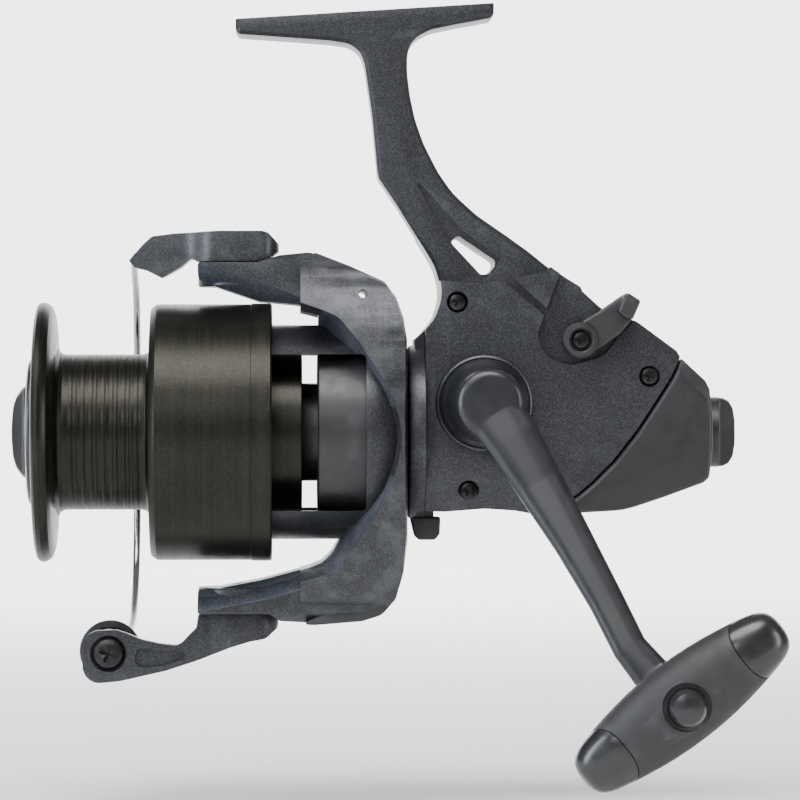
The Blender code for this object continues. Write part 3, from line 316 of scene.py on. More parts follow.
def makeFlakeGroup():  # fine bright flecks in a dark paint, with slow colour drift
    group, inside, outside = newGroup("metalFlakes", [("Vector", "Vector", None),
        ("Base", "Color", (0.03, 0.03, 0.035, 1)), ("Fleck", "Color", (0.2, 0.2, 0.22, 1)),
        ("Scale", "Float", 3000.0), ("Amount", "Float", 0.5)], [("Color", "Color"),
        ("Roughness", "Float"), ("Height", "Float")])
    cells = addNode(group, "TexVoronoi", feature="F1")
    join(group, inside, "Vector", cells, "Vector")
    join(group, inside, "Scale", cells, "Scale")
    separate = addNode(group, "SeparateColor")
    join(group, cells, "Color", separate, "Color")
    fleck = rampBetween(group, separate, "Red", 0.55, 1.0)
    strength = addNode(group, "Math", operation="MULTIPLY")
    join(group, fleck, "Result", strength, 0)
    join(group, inside, "Amount", strength, 1)
    drift = addNoise(group, 4, 60)
    join(group, inside, "Vector", drift, "Vector")
    driftRange = rampBetween(group, drift, "Fac", 0.3, 0.7, 0.88, 1.12)
    mixed = addNode(group, "Mix", data_type="RGBA")
    join(group, strength, "Value", mixed, "Factor")
    join(group, inside, "Base", mixed, 6)
    join(group, inside, "Fleck", mixed, 7)
    shaded = addNode(group, "VectorMath", operation="SCALE")
    join(group, mixed, 2, shaded, 0)
    join(group, driftRange, "Result", shaded, "Scale")
    join(group, shaded, "Vector", outside, "Color")
    rough = rampBetween(group, separate, "Green", 0.0, 1.0, 0.52, 0.34)
    join(group, rough, "Result", outside, "Roughness")
    join(group, separate, "Blue", outside, "Height")
    return group


def makeWearGroup():  # worn edges, from the surface's own shape
    group, inside, outside = newGroup("edgeWear", [("Vector", "Vector", None),
        ("Color", "Color", (0.03, 0.03, 0.03, 1)), ("Worn", "Color", (0.3, 0.3, 0.32, 1)),
        ("Amount", "Float", 0.3)], [("Color", "Color")])
    shape = addNode(group, "NewGeometry")
    edge = rampBetween(group, shape, "Pointiness", 0.52, 0.62)
    patches = addNoise(group, 5, 180)
    join(group, inside, "Vector", patches, "Vector")
    patchRange = rampBetween(group, patches, "Fac", 0.45, 0.65)
    both = addNode(group, "Math", operation="MULTIPLY")
    join(group, edge, "Result", both, 0)
    join(group, patchRange, "Result", both, 1)
    scaled = addNode(group, "Math", operation="MULTIPLY")
    join(group, both, "Value", scaled, 0)
    join(group, inside, "Amount", scaled, 1)
    mixed = addNode(group, "Mix", data_type="RGBA")
    join(group, scaled, "Value", mixed, "Factor")
    join(group, inside, "Color", mixed, 6)
    join(group, inside, "Worn", mixed, 7)
    join(group, mixed, 2, outside, "Color")
    return group


def makeGrainGroup():  # fine two-scale grain for moulded plastic, rubber and cast metal
    group, inside, outside = newGroup("surfaceGrain", [("Vector", "Vector", None),
        ("Fine", "Float", 2500.0), ("Coarse", "Float", 300.0), ("Low", "Float", 0.3),
        ("High", "Float", 0.5)], [("Roughness", "Float"), ("Height", "Float"), ("Shade", "Float")])
    fine, coarse = addNoise(group, 3), addNoise(group, 3)
    for noise, label in ((fine, "Fine"), (coarse, "Coarse")):
        join(group, inside, "Vector", noise, "Vector")
        join(group, inside, label, noise, "Scale")
    rough = rampBetween(group, coarse, "Fac", 0.3, 0.7)
    join(group, inside, "Low", rough, "To Min")
    join(group, inside, "High", rough, "To Max")
    join(group, rough, "Result", outside, "Roughness")
    join(group, fine, "Fac", outside, "Height")
    shade = rampBetween(group, coarse, "Fac", 0.3, 0.7, 0.9, 1.1)
    join(group, shade, "Result", outside, "Shade")
    return group


flakeGroup = makeFlakeGroup()
wearGroup = makeWearGroup()
grainGroup = makeGrainGroup()


def startMaterial(name, metallic=0.0, coat=0.0, coatRoughness=0.1, specular=0.5):
    material = bpy.data.materials.new(name)
    material.use_nodes = True
    tree = material.node_tree
    shader = tree.nodes["Principled BSDF"]
    shader.inputs["Metallic"].default_value = metallic
    shader.inputs["Coat Weight"].default_value = coat
    shader.inputs["Coat Roughness"].default_value = coatRoughness
    shader.inputs["Specular IOR Level"].default_value = specular
    coords = addNode(tree, "TexCoord")
    return material, tree, shader, coords


def useGroup(tree, group, coords, **values):
    node = addNode(tree, "Group", node_tree=group)
    join(tree, coords, "Object", node, "Vector")
    for key, value in values.items():
        node.inputs[key].default_value = value
    return node


def addBump(tree, shader, height, distance, strength=0.5):
    bump = addNode(tree, "Bump")
    bump.inputs["Distance"].default_value = distance * mm
    bump.inputs["Strength"].default_value = strength
    tree.links.new(height, bump.inputs["Height"])
    join(tree, bump, "Normal", shader, "Normal")
    return bump


def flakePaint(name, base, fleck, worn, amount, wear, metallic, scale=2600.0, coat=0.15):
    material, tree, shader, coords = startMaterial(name, metallic, coat, 0.3)
    flakes = useGroup(tree, flakeGroup, coords, Base=(*base, 1), Fleck=(*fleck, 1), Scale=scale,
        Amount=amount)
    edges = useGroup(tree, wearGroup, coords, Worn=(*worn, 1), Amount=wear)
    join(tree, flakes, "Color", edges, "Color")
    join(tree, edges, "Color", shader, "Base Color")
    join(tree, flakes, "Roughness", shader, "Roughness")
    addBump(tree, shader, flakes.outputs["Height"], 0.012, 0.35)
    return material


def grainMaterial(name, colour, low, high, metallic=0.0, fine=2500.0, coarse=300.0, depth=0.01,
        strength=0.3, wear=0.15, worn=(0.12, 0.12, 0.13), coat=0.0):
    material, tree, shader, coords = startMaterial(name, metallic, coat, 0.15)
    grain = useGroup(tree, grainGroup, coords, Fine=fine, Coarse=coarse, Low=low, High=high)
    shade = addNode(tree, "VectorMath", operation="SCALE")
    shade.inputs[0].default_value = colour
    join(tree, grain, "Shade", shade, "Scale")
    edges = useGroup(tree, wearGroup, coords, Worn=(*worn, 1), Amount=wear)
    join(tree, shade, "Vector", edges, "Color")
    join(tree, edges, "Color", shader, "Base Color")
    join(tree, grain, "Roughness", shader, "Roughness")
    addBump(tree, shader, grain.outputs["Height"], depth, strength)
    return material


def turnedMetal(name, colour, low, high, metallic, lineScale, axis=0, depth=0.02, strength=0.25,
        coat=0.0):
    # concentric tool marks: a noise that is stretched round the turning axis
    material, tree, shader, coords = startMaterial(name, metallic, coat, 0.2)
    mapping = addNode(tree, "Mapping")
    stretch = [4.0, 4.0, 4.0]
    stretch[axis] = lineScale
    mapping.inputs["Scale"].default_value = stretch
    join(tree, coords, "Object", mapping, "Vector")
    marks = addNoise(tree, 4, 1)
    join(tree, mapping, "Vector", marks, "Vector")
    rough = rampBetween(tree, marks, "Fac", 0.3, 0.7, low, high)
    join(tree, rough, "Result", shader, "Roughness")
    tone = rampBetween(tree, marks, "Fac", 0.3, 0.7, 0.8, 1.2)
    shade = addNode(tree, "VectorMath", operation="SCALE")
    shade.inputs[0].default_value = colour
    join(tree, tone, "Result", shade, "Scale")
    grit = useGroup(tree, flakeGroup, coords, Fleck=(*(c * 2.6 for c in colour), 1), Scale=3200.0,
        Amount=0.28)
    join(tree, shade, "Vector", grit, "Base")
    join(tree, grit, "Color", shader, "Base Color")
    addBump(tree, shader, marks.outputs["Fac"], depth, strength)
    return material


paint = flakePaint("speckledPaint", (0.017, 0.0175, 0.020), (0.085, 0.088, 0.098), (0.13, 0.135, 0.15),
    0.5, 0.2, 0.55, 4600.0)
# painted highlight: a lighter, bluer copy of the paint for the window's inner slopes, standing in for light
# catching them
paintBlueHighlight = flakePaint("speckledPaintHighlight", (0.046, 0.051, 0.066), (0.19, 0.205, 0.245),
    (0.2, 0.21, 0.25), 0.5, 0.2, 0.6, 4600.0)
satinCover = grainMaterial("satinCover", (0.013, 0.0133, 0.0145), 0.36, 0.46, 0.1, depth=0.006,
    strength=0.2)
satinPlastic = grainMaterial("satinPlastic", (0.010, 0.0103, 0.0112), 0.36, 0.5, 0.0, depth=0.008,
    strength=0.25)
crankPaint = grainMaterial("crankPaint", (0.011, 0.0115, 0.0135), 0.34, 0.44, 0.3, fine=3000.0,
    depth=0.005, strength=0.2, coat=0.12)
gripTexture = grainMaterial("gripTexture", (0.0125, 0.0128, 0.0138), 0.55, 0.68, 0.0, fine=5200.0,
    coarse=420.0, depth=0.035, strength=0.7)
glossBlack = grainMaterial("glossBlack", (0.009, 0.0093, 0.0102), 0.26, 0.36, 0.0, depth=0.002,
    strength=0.1, coat=0.1)
anodised = turnedMetal("anodisedOlive", (0.0165, 0.016, 0.0128), 0.3, 0.4, 0.85, 2600.0)
polishedSteel = grainMaterial("polishedSteel", (0.36, 0.35, 0.33), 0.1, 0.2, 1.0, depth=0.002,
    strength=0.1, worn=(0.7, 0.7, 0.7))
groundSteel = turnedMetal("groundSteel", (0.42, 0.42, 0.43), 0.22, 0.36, 1.0, 1800.0)
blackSteel = grainMaterial("blackSteel", (0.012, 0.012, 0.013), 0.22, 0.34, 0.7, fine=2200.0, depth=0.006,
    strength=0.3, worn=(0.25, 0.25, 0.26), wear=0.3)
castZinc = grainMaterial("castZinc", (0.3, 0.31, 0.33), 0.35, 0.5, 1.0, fine=1600.0, depth=0.02,
    strength=0.4)
machinedBrass = turnedMetal("machinedBrass", (0.5, 0.36, 0.14), 0.2, 0.34, 1.0, 2200.0)
feltCloth = grainMaterial("feltCloth", (0.3, 0.27, 0.22), 0.85, 0.95, 0.0, fine=1400.0, coarse=200.0,
    depth=0.12, strength=0.9)
nylonWhite = grainMaterial("nylonWhite", (0.62, 0.61, 0.57), 0.4, 0.52, 0.0, depth=0.006, strength=0.2)
print("materials ready")


# more shaping helpers

def slicePiece(piece, point, normal):  # everything on the normal's side of the plane goes
    activate(piece)
    setMode("EDIT")
    bpy.ops.mesh.select_all(action="SELECT")
    bpy.ops.mesh.bisect(plane_co=point, plane_no=normal, use_fill=True, clear_outer=True)
    setMode("OBJECT")
    return piece


def bevelWhere(piece, test, width, segments=1):  # bevels the sharp edges whose ends both pass the test
    activate(piece)
    setMode("EDIT")
    bpy.ops.mesh.select_mode(type="EDGE")
    bpy.ops.mesh.select_all(action="DESELECT")
    bpy.ops.mesh.edges_select_sharp(sharpness=math.radians(30))
    setMode("OBJECT")
    for edge in piece.data.edges:
        ends = [(piece.data.vertices[i].co - shaftPoint) / mm for i in edge.vertices]
        edge.select = edge.select and all(test(end) for end in ends)
    setMode("EDIT")
    bpy.ops.mesh.bevel(offset=width * mm, segments=segments, affect="EDGES", clamp_overlap=True)
    setMode("OBJECT")
    return piece


def block(name, low, high, turn=None):  # mm corners
    clearSelection()
    bpy.ops.mesh.primitive_cube_add(size=1, location=(0, 0, 0))
    piece = bpy.context.object
    piece.name = name
    size = Vector(high) - Vector(low)
    piece.scale = size * mm
    bpy.ops.object.transform_apply(scale=True)
    middle = (Vector(high) + Vector(low)) / 2
    return settle(piece, turn, at(*middle))


def bore(name, radius, start, end, axis, centre, sides=48):  # a plain round tool for cutting
    return lathe(name, [(0, start), (radius, start), (radius, end), (0, end)], centre, axis, sides)


def crossScrew(name, centre, axis, headRadius, headTop, way, body, node):
    # a pan head with a cross recess: way is +1 or -1 along the axis towards the shank
    r = headRadius
    profile = [(0, headTop), (r * 0.55, headTop + way * 0.02), (r * 0.86, headTop + way * r * 0.1),
        (r, headTop + way * r * 0.3), (r, headTop + way * r * 0.5), (r * 0.5, headTop + way * r * 0.55),
        (r * 0.5, headTop + way * r * 2.2), (0, headTop + way * r * 2.2)]
    piece = lathe(name, profile, centre, axis, 48)
    for k in range(2):
        clearSelection()
        bpy.ops.mesh.primitive_cube_add(size=1)
        slot = bpy.context.object
        slot.scale = (r * 1.15 * mm, r * 0.26 * mm, r * 0.7 * mm)
        bpy.ops.object.transform_apply(scale=True)
        applyModifier(slot, "BEVEL", width=r * 0.06 * mm, segments=2)
        spin = Matrix.Translation((0, 0, headTop * mm)) @ Matrix.Rotation(k * math.pi / 2 + slotTurn, 4,
            "Z")
        settle(slot, axisTurn[axis] @ spin, centre)
        combine(piece, slot)
    return show(piece, blackSteel, body, node)


# body

bodyValues = dict(
    half=18.0, parting=-6.0, gap=0.3,
    frame=[(-17.4, -20.2, 0), (-9.9, -20.4, 0), (0.3, -19.6, 12), (8.1, -20.1, 12), (14.7, -21.3, 1.5),
        (22.8, -16.7, 20), (27.2, -13.1, 20), (33.2, -7.1, 20), (39.2, 0.6, 20), (43.9, 7.8, 20),
        (48.1, 14.4, 20), (50.4, 19.4, 0.4), (49.4, 21, 1), (39.2, 28.5, 6), (30.2, 31.8, 6),
        (25.4, 36.2, 0.8), (24.9, 37.4, 1), (21.1, 39.7, 8), (17.2, 42.4, 8), (11.6, 46.9, 20),
        (6, 50.9, 20), (-1.4, 56, 20), (-18.3, 52.5, 6), (-14.4, 46.4, 14), (-12.2, 42.6, 12),
        (-11, 38.6, 12), (-10.8, 34.2, 12), (-12.6, 29.2, 10), (-15.6, 25.6, 8), (-17.4, 24, 0)],
    stem=[(-63.7, 118, 0), (-63.7, 102.8, 1.6), (-50.4, 101.9, 0), (-39.3, 101.1, 10), (-34.1, 100.3, 6),
        (-31.6, 98.2, 4), (-30.4, 95.2, 8), (-29.6, 89.8, 10), (-28.4, 81.4, 30), (-27.1, 67.4, 1),
        (-26.7, 65.5, 1), (-22.2, 58.8, 20), (-18.3, 52.5, 20), (-14.4, 46.4, 14), (-12.2, 42.6, 12),
        (-10.9, 38, 4), (-10.9, 34, 0), (24, 34, 0), (25.1, 37.3, 0), (21.1, 39.7, 8), (17.2, 42.4, 8),
        (11.6, 46.9, 20), (6, 50.9, 20), (-1.4, 56, 20), (-7.6, 61.6, 20), (-11.5, 67.2, 20),
        (-15.2, 74.5, 20), (-17.4, 80.8, 20), (-18.7, 86.9, 20), (-19.4, 92.6, 14), (-19.4, 97.1, 8),
        (-18.6, 100.2, 5), (-16.6, 102.3, 5), (-13.3, 104, 6), (-6.5, 105.4, 10), (3, 107.2, 1.6),
        (3, 118, 0)],
    stemHalf=8.6, stemChamfer=3.3,
    leans=[((1.3, 39.1), (27.4, 17), 4.5, -1), ((39.2, 25.1), (15.3, -2.3), 4.0, -1),
        ((-9, 10), (-9.6, -30), 14, 1), ((0, -11.5), (30, -13.5), 24, 1), ((-14, 30), (-3, 48), 16, -1)],
    slot=[(-8.3, 49.2, 0.9), (-6.2, 50.8, 1.1), (3.3, 44.4, 1), (3.2, 42.8, 0.8), (1.6, 40.9, 1.2),
        (-0.4, 40.7, 0.9)],
    groove=[(-17.5, 65, 0.8), (-15.4, 63.6, 0.8), (-5.6, 52.4, 0.8), (4.6, 44.8, 0.8), (3.4, 41.6, 0.8),
        (0.6, 39.4, 0.8), (-1.6, 40.2, 0.8), (-9.6, 50.2, 0.8)],
    rearGroove=[(3.2, 43.4, 0.5), (18.4, 29.6, 0.6), (17.2, 28.6, 0.6), (2, 41.2, 0.5)],
    inside=[(-12.5, -17.6, 2), (18, -18, 3), (24.5, -13.2, 0), (35.2, -1.8, 0), (41.2, 7.8, 0),
        (46.5, 18, 2), (37, 26.2, 3), (27, 30.5, 3), (18, 35, 3), (-7, 35, 3), (-8, 30, 0),
        (-12.5, 21.5, 2)],
)
b = bodyValues


def wedge(name, point, normal):  # a big block with one face in the plane, on the normal's side
    clearSelection()
    bpy.ops.mesh.primitive_cube_add(size=0.2, location=(0, 0, 0.1))
    piece = bpy.context.object
    piece.name = name
    settle(piece)
    return settle(piece, normal.normalized().to_track_quat("Z", "Y").to_matrix(), point)


def makeBodyForm(name):  # the whole cast form, later split into housing and side cover
    form = sidePlate(name, b["frame"], -b["half"], b["half"], 8)
    edgeBevel(form, 1.1, 3, 60)
    for (startX, startZ), (endX, endZ), lean, side in b["leans"]:
        way = Vector((endX - startX, 0, endZ - startZ)).normalized()
        across = Vector((way.z, 0, -way.x)) * side
        for face in (-1, 1):
            normal = Vector((0, face,
                0)) * math.cos(math.radians(lean)) + across * math.sin(math.radians(lean))
            combine(form, wedge("leanTool", at(startX, face * b["half"], startZ), normal))
    return form


def makeHousing():
    form = makeBodyForm("reelHousing")
    combine(form, block("nearRoom", (-60, -60, -60), (90, b["parting"], 90)))
    stem = sidePlate("stemForm", b["stem"], -b["stemHalf"], b["stemHalf"], 7)
    bevelWhere(stem, lambda p: True, b["stemChamfer"], 1)
    slicePiece(stem, at(-30.5, 0, 108.7), (-0.0637, 0, 0.998))
    combine(stem, sidePlate("stemGroove", b["groove"], -20, -b["stemHalf"] + 1.5, 12))
    combine(stem, sidePlate("stemGrooveFar", b["groove"], b["stemHalf"] - 1.5, 20, 12))
    tidyMesh(stem)
    edgeBevel(stem, 0.35, 3, 20)
    combine(stem, block("stemSplit", (-30, -30, 20), (40, b["parting"], 38.5)))
    combine(form, stem, "UNION")
    collar = lathe("collarForm", [(8, -19.2), (21.5, -19.2), (22.3, -18.9), (22.6, -18.2), (22.6, -15),
        (8, -15)], closed=True)
    combine(form, collar, "UNION")
    combine(form, sidePlate("insideTool", b["inside"], -12.0, 13.2, 15))
    combine(form, sidePlate("slotTool", b["slot"], -30, 30, 12))
    combine(form, block("coverRoom", (-14.9, -30, -30), (70, b["parting"], 38.8)))
    combine(form, bore("pinionRoom", 7.9, -30, -8, "X", shaftPoint))
    combine(form, block("stopRoom", (-17.8, -5.2, -30), (-11, 5.2, -14.5)))
    combine(form, bore("portRoom", 5.0, 8, 30, "Y", at(0, 0, handleZ)))
    return show(form, paint, "housing", "main_housing", degrees=28)


def makeSideCover():
    form = makeBodyForm("sideCover")
    combine(form, block("farRoom", (-60, b["parting"] - b["gap"], -60), (90, 60, 90)))
    combine(form, block("frontRoom", (-60, -60, -60), (-14.9, 60, 90)))
    # the top edge of the cover runs in a shallow arc below the stem
    top = [(-30, 38.6, 0), (-10.7, 38.9, 0), (-4, 38.5, 10), (6, 38.8, 20), (16.5, 41.6, 0), (30, 60, 0),
        (-30, 60, 0)]
    combine(form, sidePlate("coverTop", top, -30, 0, 10))
    collar = lathe("handleRing", [(7, -17), (12.4, -17), (12.4, -20.4), (12.2, -20.9), (11.7, -21.2),
        (11.2, -21), (10.9, -20.4), (7, -20.4)], at(0, 0, handleZ), "Y", 96, True)
    combine(form, collar, "UNION")
    combine(form, sidePlate("coverInside", b["inside"], -13.4, 0, 15))
    combine(form, sidePlate("coverGroove", b["rearGroove"], -30, -15.9, 12))
    pocket = [(13.6, 25.2, 3), (15.8, 19, 6), (22.4, 17.2, 6.6), (30.6, 19.4, 6.6), (34.5, 24.4, 4),
        (50.6, 41.6, 0), (20.6, 43.6, 0)]
    combine(form, sidePlate("leverRoom", pocket, -30, -15.4, 10))
    for x, z in coverScrews:
        combine(form, lathe("recess", [(0, -30), (2.75, -30), (2.75, -16), (1.6, -15.6), (1.6, -3),
            (0, -3)], at(x, 0, z), "Y", 48))
    combine(form, bore("shaftRoom", 5.2, -30, -3, "Y", at(0, 0, handleZ)))
    combine(form, bore("leverPinRoom", 2.5, -30, -3, "Y", at(leverX, 0, leverZ)))
    return show(form, paint, "housing", "side_cover", degrees=28)


def makeRearCover():
    outline = [(15.4, -21.4, 0), (24.8, -20.6, 20), (36.1, -20, 20), (46.3, -16.6, 8), (56.4, -12.9, 1.2),
        (57.9, -11.6, 2), (58.8, -4, 30), (58.8, 3.6, 30), (58, 11, 2), (57, 13.2, 2), (50.9, 18.9, 0),
        (48.6, 14.1, 20), (44.4, 7.5, 20), (39.7, 0.3, 20), (33.7, -7.4, 20), (27.7, -13.4, 20),
        (23.3, -17, 20)]
    form = sidePlate("rearShell", outline, -17.6, 17.6, 8)
    edgeBack = bevelWhere(form, lambda p: p.x * 0.78 - p.z > 31 and p.x > 30, 5.0, 6)
    slicePiece(edgeBack, at(50.9, -17.6, 14.5), Vector((0.30, -0.9, 0.32)).normalized())
    slicePiece(edgeBack, at(50.9, 17.6, 14.5), Vector((0.30, 0.9, 0.32)).normalized())
    tidyMesh(form)
    edgeBevel(form, 0.3, 2, 15)
    inside = [(30, 5, 0), (47, 14, 0), (51.6, 14.5, 1), (55, 10.5, 1), (56.2, -1, 0), (54.8, -10.2, 1),
        (45.5, -14, 0), (35.8, -17.3, 0), (25, -17.8, 0)]
    combine(form, sidePlate("rearRoom", inside, -13.0, 13.0, 15))
    combine(form, bore("knobRoom", 3.6, 50, 70, "X", shaftPoint))
    return show(form, satinCover, "housing", "rear_cover", degrees=28)


makeHousing()
makeSideCover()
makeRearCover()
for number, (x, z) in enumerate(coverScrews):
    crossScrew(f"bodyScrew{number + 1}", at(x, 0, z), "Y", 2.35, -17.3, 1, "housing",
        f"cover_screw_{number + 1}")
print("body ready")


# rotor

# the yoke's inner edge, from the upper arm round to the lower one
innerEdge = [(-73.4, 39.3, 2), (-67.2, 37, 8), (-55.2, 33, 20), (-43.3, 28.3, 5), (-39.8, 26.5, 5),
    (-36.1, 21, 20), (-32, 14, 20), (-28.9, 7.4, 20), (-27.2, 1.5, 20), (-27, -3, 20), (-28.9, -12, 20),
    (-32, -18.6, 20), (-36.1, -26.4, 10), (-39.1, -31.2, 4), (-41.5, -33.5, 4), (-44.5, -34.7, 5),
    (-56.4, -38, 10), (-70.7, -40.7, 4)]

rotorValues = dict(
    half=13.0, bandDepth=5.0, flare=1.16, rimShrink=0.93, sweep=34.7, cup=27.8, cupWall=2.2,
    archHalf=28.9, archHeight=49.5, archFront=-47.0, archFlare=1.17, archRimShrink=0.95,
    window=[(-120, 40.5, 0)] + innerEdge + [(-120, -41.5, 0)],
    rim=[(-130, 49, 0), (-44.5, 46.8, 4), (-34.3, 42.6, 6), (-25, 38.6, 2), (-22.2, 35, 3),
        (-20.2, 29.5, 4), (-19.3, 24, 8), (-19.2, -28, 6), (-20.2, -36, 4), (-22.2, -42.8, 3),
        (-25.8, -47, 4), (-31, -48.6, 6), (-130, -52, 0)],
    outline=[(-73.4, 43.7, 0.8), (-58, 43.7, 0), (-52.3, 45.6, 2), (-44.5, 46.4, 4), (-34.3, 42.3, 6),
        (-25.4, 38.3, 2), (-22.6, 35, 3), (-20.6, 29.5, 4), (-19.7, 24, 8), (-19.6, -28, 6),
        (-20.6, -36, 4), (-22.6, -42.6, 3), (-26, -46.6, 4), (-31, -48.1, 6), (-43.3, -49.1, 6),
        (-52.4, -48.6, 3), (-55, -46.7, 0.5), (-73.4, -46.7, 0.8), (-73.4, -40, 2)] + innerEdge[::-1],
    lowerCover=[(-19.6, -30, 1), (-20.5, -36, 4), (-22.4, -42.9, 3), (-26, -47, 4), (-31, -48.6, 6),
        (-43.3, -49.6, 4), (-47, -49.4, 1), (-39, -45.6, 3), (-33, -42.2, 5), (-27.6, -36.6, 5),
        (-23.6, -30, 1)],
    upperCover=[(-43.6, 46.6, 0.5), (-34.3, 43, 6), (-25.2, 38.9, 1), (-22.2, 34.8, 1), (-24, 33.6, 0.8),
        (-27, 36.4, 1), (-43.6, 43.8, 0.5)],
)


def paintHighlightBand(piece, material, test):  # the faces that pass the test get a lighter, bluer copy of the paint: a painted highlight where light catches the slopes
    piece.data.materials.append(material)
    for face in piece.data.polygons:
        if test((face.center - shaftPoint) / mm, face.normal):
            face.material_index = 1


def taper(name, outline, start, end, factor, middle, hollow=False):
    # a plate whose outer end face is resized about a middle point; hollow: what is left of a block around it
    piece = sidePlate(name, outline, start, end, 8)
    centre = at(middle[0], 0, middle[1])
    outer = at(0, end, 0).y
    activate(piece)
    for vertex in piece.data.vertices:
        vertex.select = abs(vertex.co.y - outer) < 0.00001
    for edge in piece.data.edges:
        edge.select = all(piece.data.vertices[i].select for i in edge.vertices)
    for face in piece.data.polygons:
        face.select = all(piece.data.vertices[i].select for i in face.vertices)
    setMode("EDIT")
    bpy.ops.mesh.select_mode(type="VERT")
    bpy.ops.transform.resize(value=(factor, 1, factor), center_override=centre)
    setMode("OBJECT")
    if hollow:
        low, high = sorted((start, end))
        around = block("aroundForm", (-150, low, -150), (80, high, 150))
        combine(around, piece)
        return around
    return piece


def onHighlitInnerSlope(p, n):  # faces that look towards the middle of the window, outside the cup; these get the painted highlight
    inward = n.x * (p.x + 62) + n.z * (p.z + 1) < 0
    leaning = 0.2 < abs(n.y) < 0.93 and 8 < abs(p.y)
    onArch = p.x > -42 or abs(p.y) < 12.98
    return leaning and inward and onArch and Vector((p.y, p.z)).length > 27.9


def makeRotor():
    r = rotorValues
    form = sidePlate("rotorBody", r["outline"], -r["half"], r["half"], 6)
    for side in (-1, 1):
        combine(form, taper("bandTool", r["window"], side * (r["half"] - r["bandDepth"]),
            side * (r["half"] + 1.0), r["flare"], (-62, -1)))
        combine(form, taper("edgeTool", r["rim"], side * (r["half"] - 3.4), side * (r["half"] + 1.0),
            r["rimShrink"], (-46, -1), True))
    edgeBevel(form, 0.4, 2, 22)
    arch = sidePlate("archForm", r["outline"], -29.0, 29.0, 8)
    around = bore("archLimit", 1.0, -80, 0, "X", Vector((0, 0, 0)), 128)
    around.data.transform(Matrix.Diagonal((1.0, r["archHalf"], r["archHeight"], 1.0)))
    settle(around, None, shaftPoint)
    combine(arch, around, "INTERSECT")
    combine(arch, block("armRoom", (-130, -60, -60), (r["archFront"], 60, 60)))
    for side in (-1, 1):
        combine(arch, taper("archBand", r["window"], side * 11.5, side * 29.5, r["archFlare"], (-62, -1)))
        combine(arch, taper("archRim", r["rim"], side * 14.0, side * 29.5, r["archRimShrink"], (-46, -1),
            True))
    edgeBevel(arch, 0.35, 2, 24)
    combine(form, arch, "UNION")
    combine(form, bore("sweepTool", r["sweep"], -130, -42.4, "X", shaftPoint, 128))
    for low, high in ((37.6, 43.8), (-46.7, -40.2)):
        pad = lathe("padForm", [(0, low), (10.3, low), (10.6, low + 0.4), (10.6, high - 0.4),
            (10.3, high), (0, high)], at(pivotX, 0, 0), "Z", 72)
        combine(form, pad, "UNION")
    bowl = [(4.3, -29), (r["cup"] - r["cupWall"], -29.0), (r["cup"] - r["cupWall"], -60.0),
        (r["cup"] - 0.4, -60.0), (r["cup"], -59.6), (r["cup"], -28.0), (27.2, -25.8), (25.6, -22.6),
        (24.2, -20.4), (22, -19.6), (17, -19.6), (17, -22.6), (7.6, -22.6), (7.6, -21.2), (4.3, -21.2)]
    combine(form, lathe("bowlForm", bowl, sides=128, closed=True), "UNION")
    combine(form, bore("cupRoom", r["cup"] - r["cupWall"], -130, -29.0, "X", shaftPoint, 128))
    combine(form, bore("backRoom", 17.0, -22.6, -10, "X", shaftPoint, 96))
    windowTool = block("windowTool", (-56, -40, -20), (-30.2, 40, 20))
    edgeBevel(windowTool, 1.2, 4)
    combine(form, windowTool)
    combine(form, lathe("hubForm", [(4.3, -35), (7.5, -35), (7.5, -21.4), (4.3, -21.4)], sides=64,
        closed=True), "UNION")
    combine(form, bore("hubRoom", 4.2, -60, 0, "X", shaftPoint))
    combine(form, bore("sightHole", 1.1, -30, 30, "Y", at(-31, 0, 35.5), 24))
    combine(form, block("springRoom", (-52, -3.4, -55), (-40, 3.4, -42.4)))
    for low, high in ((30, 50), (-55, -30)):
        combine(form, bore("pivotRoom", 1.9, low, high, "Z", at(pivotX, 0, 0), 32))
    show(form, paint, "rotor_group", "rotor", degrees=26)
    # painted highlight: the inner slopes of the window, picked by the way they face, get the lighter, bluer
    # paint copy
    paintHighlightBand(form, paintBlueHighlight, onHighlitInnerSlope)
    lower = sidePlate("lowerArmShield", r["lowerCover"], -12.2, 12.2, 8)
    edgeBevel(lower, 1.8, 4)
    combine(lower, block("shieldRoom", (-60, -3.6, -60), (-39.6, 3.6, -40)))
    show(lower, satinCover, "rotor_group", "lower_arm_cover")
    upper = sidePlate("upperArmShield", r["upperCover"], -8.0, 8.0, 8)
    edgeBevel(upper, 0.5, 3)
    show(upper, satinCover, "rotor_group", "upper_arm_cover")
    ring = lathe("innerShroud", [(21.5, -42.2), (21.9, -42.6), (23.6, -42.6), (24, -42.2), (24, -29.3),
        (21.5, -29.3)], sides=128, closed=True)
    show(ring, satinPlastic, "rotor_group", "rotor_inner_ring")
    cap = lathe("nutHousing", [(4.8, -49), (11.4, -49), (12.2, -48.7), (12.7, -47.9), (12.7, -29.3),
        (11.2, -29.3), (11.2, -41.3), (4.8, -41.3)], closed=True)
    show(cap, satinPlastic, "rotor_group", "nut_cover")
    crossScrew("bailPivotHead", at(pivotX, 0, 0), "Z", 2.15, 51.4, -1, "rotor_group", "bail_pivot_screw")
    crossScrew("rollerPivotHead", at(pivotX, 0, 0), "Z", 2.15, -53.4, 1, "rotor_group",
        "roller_arm_screw")


# bail

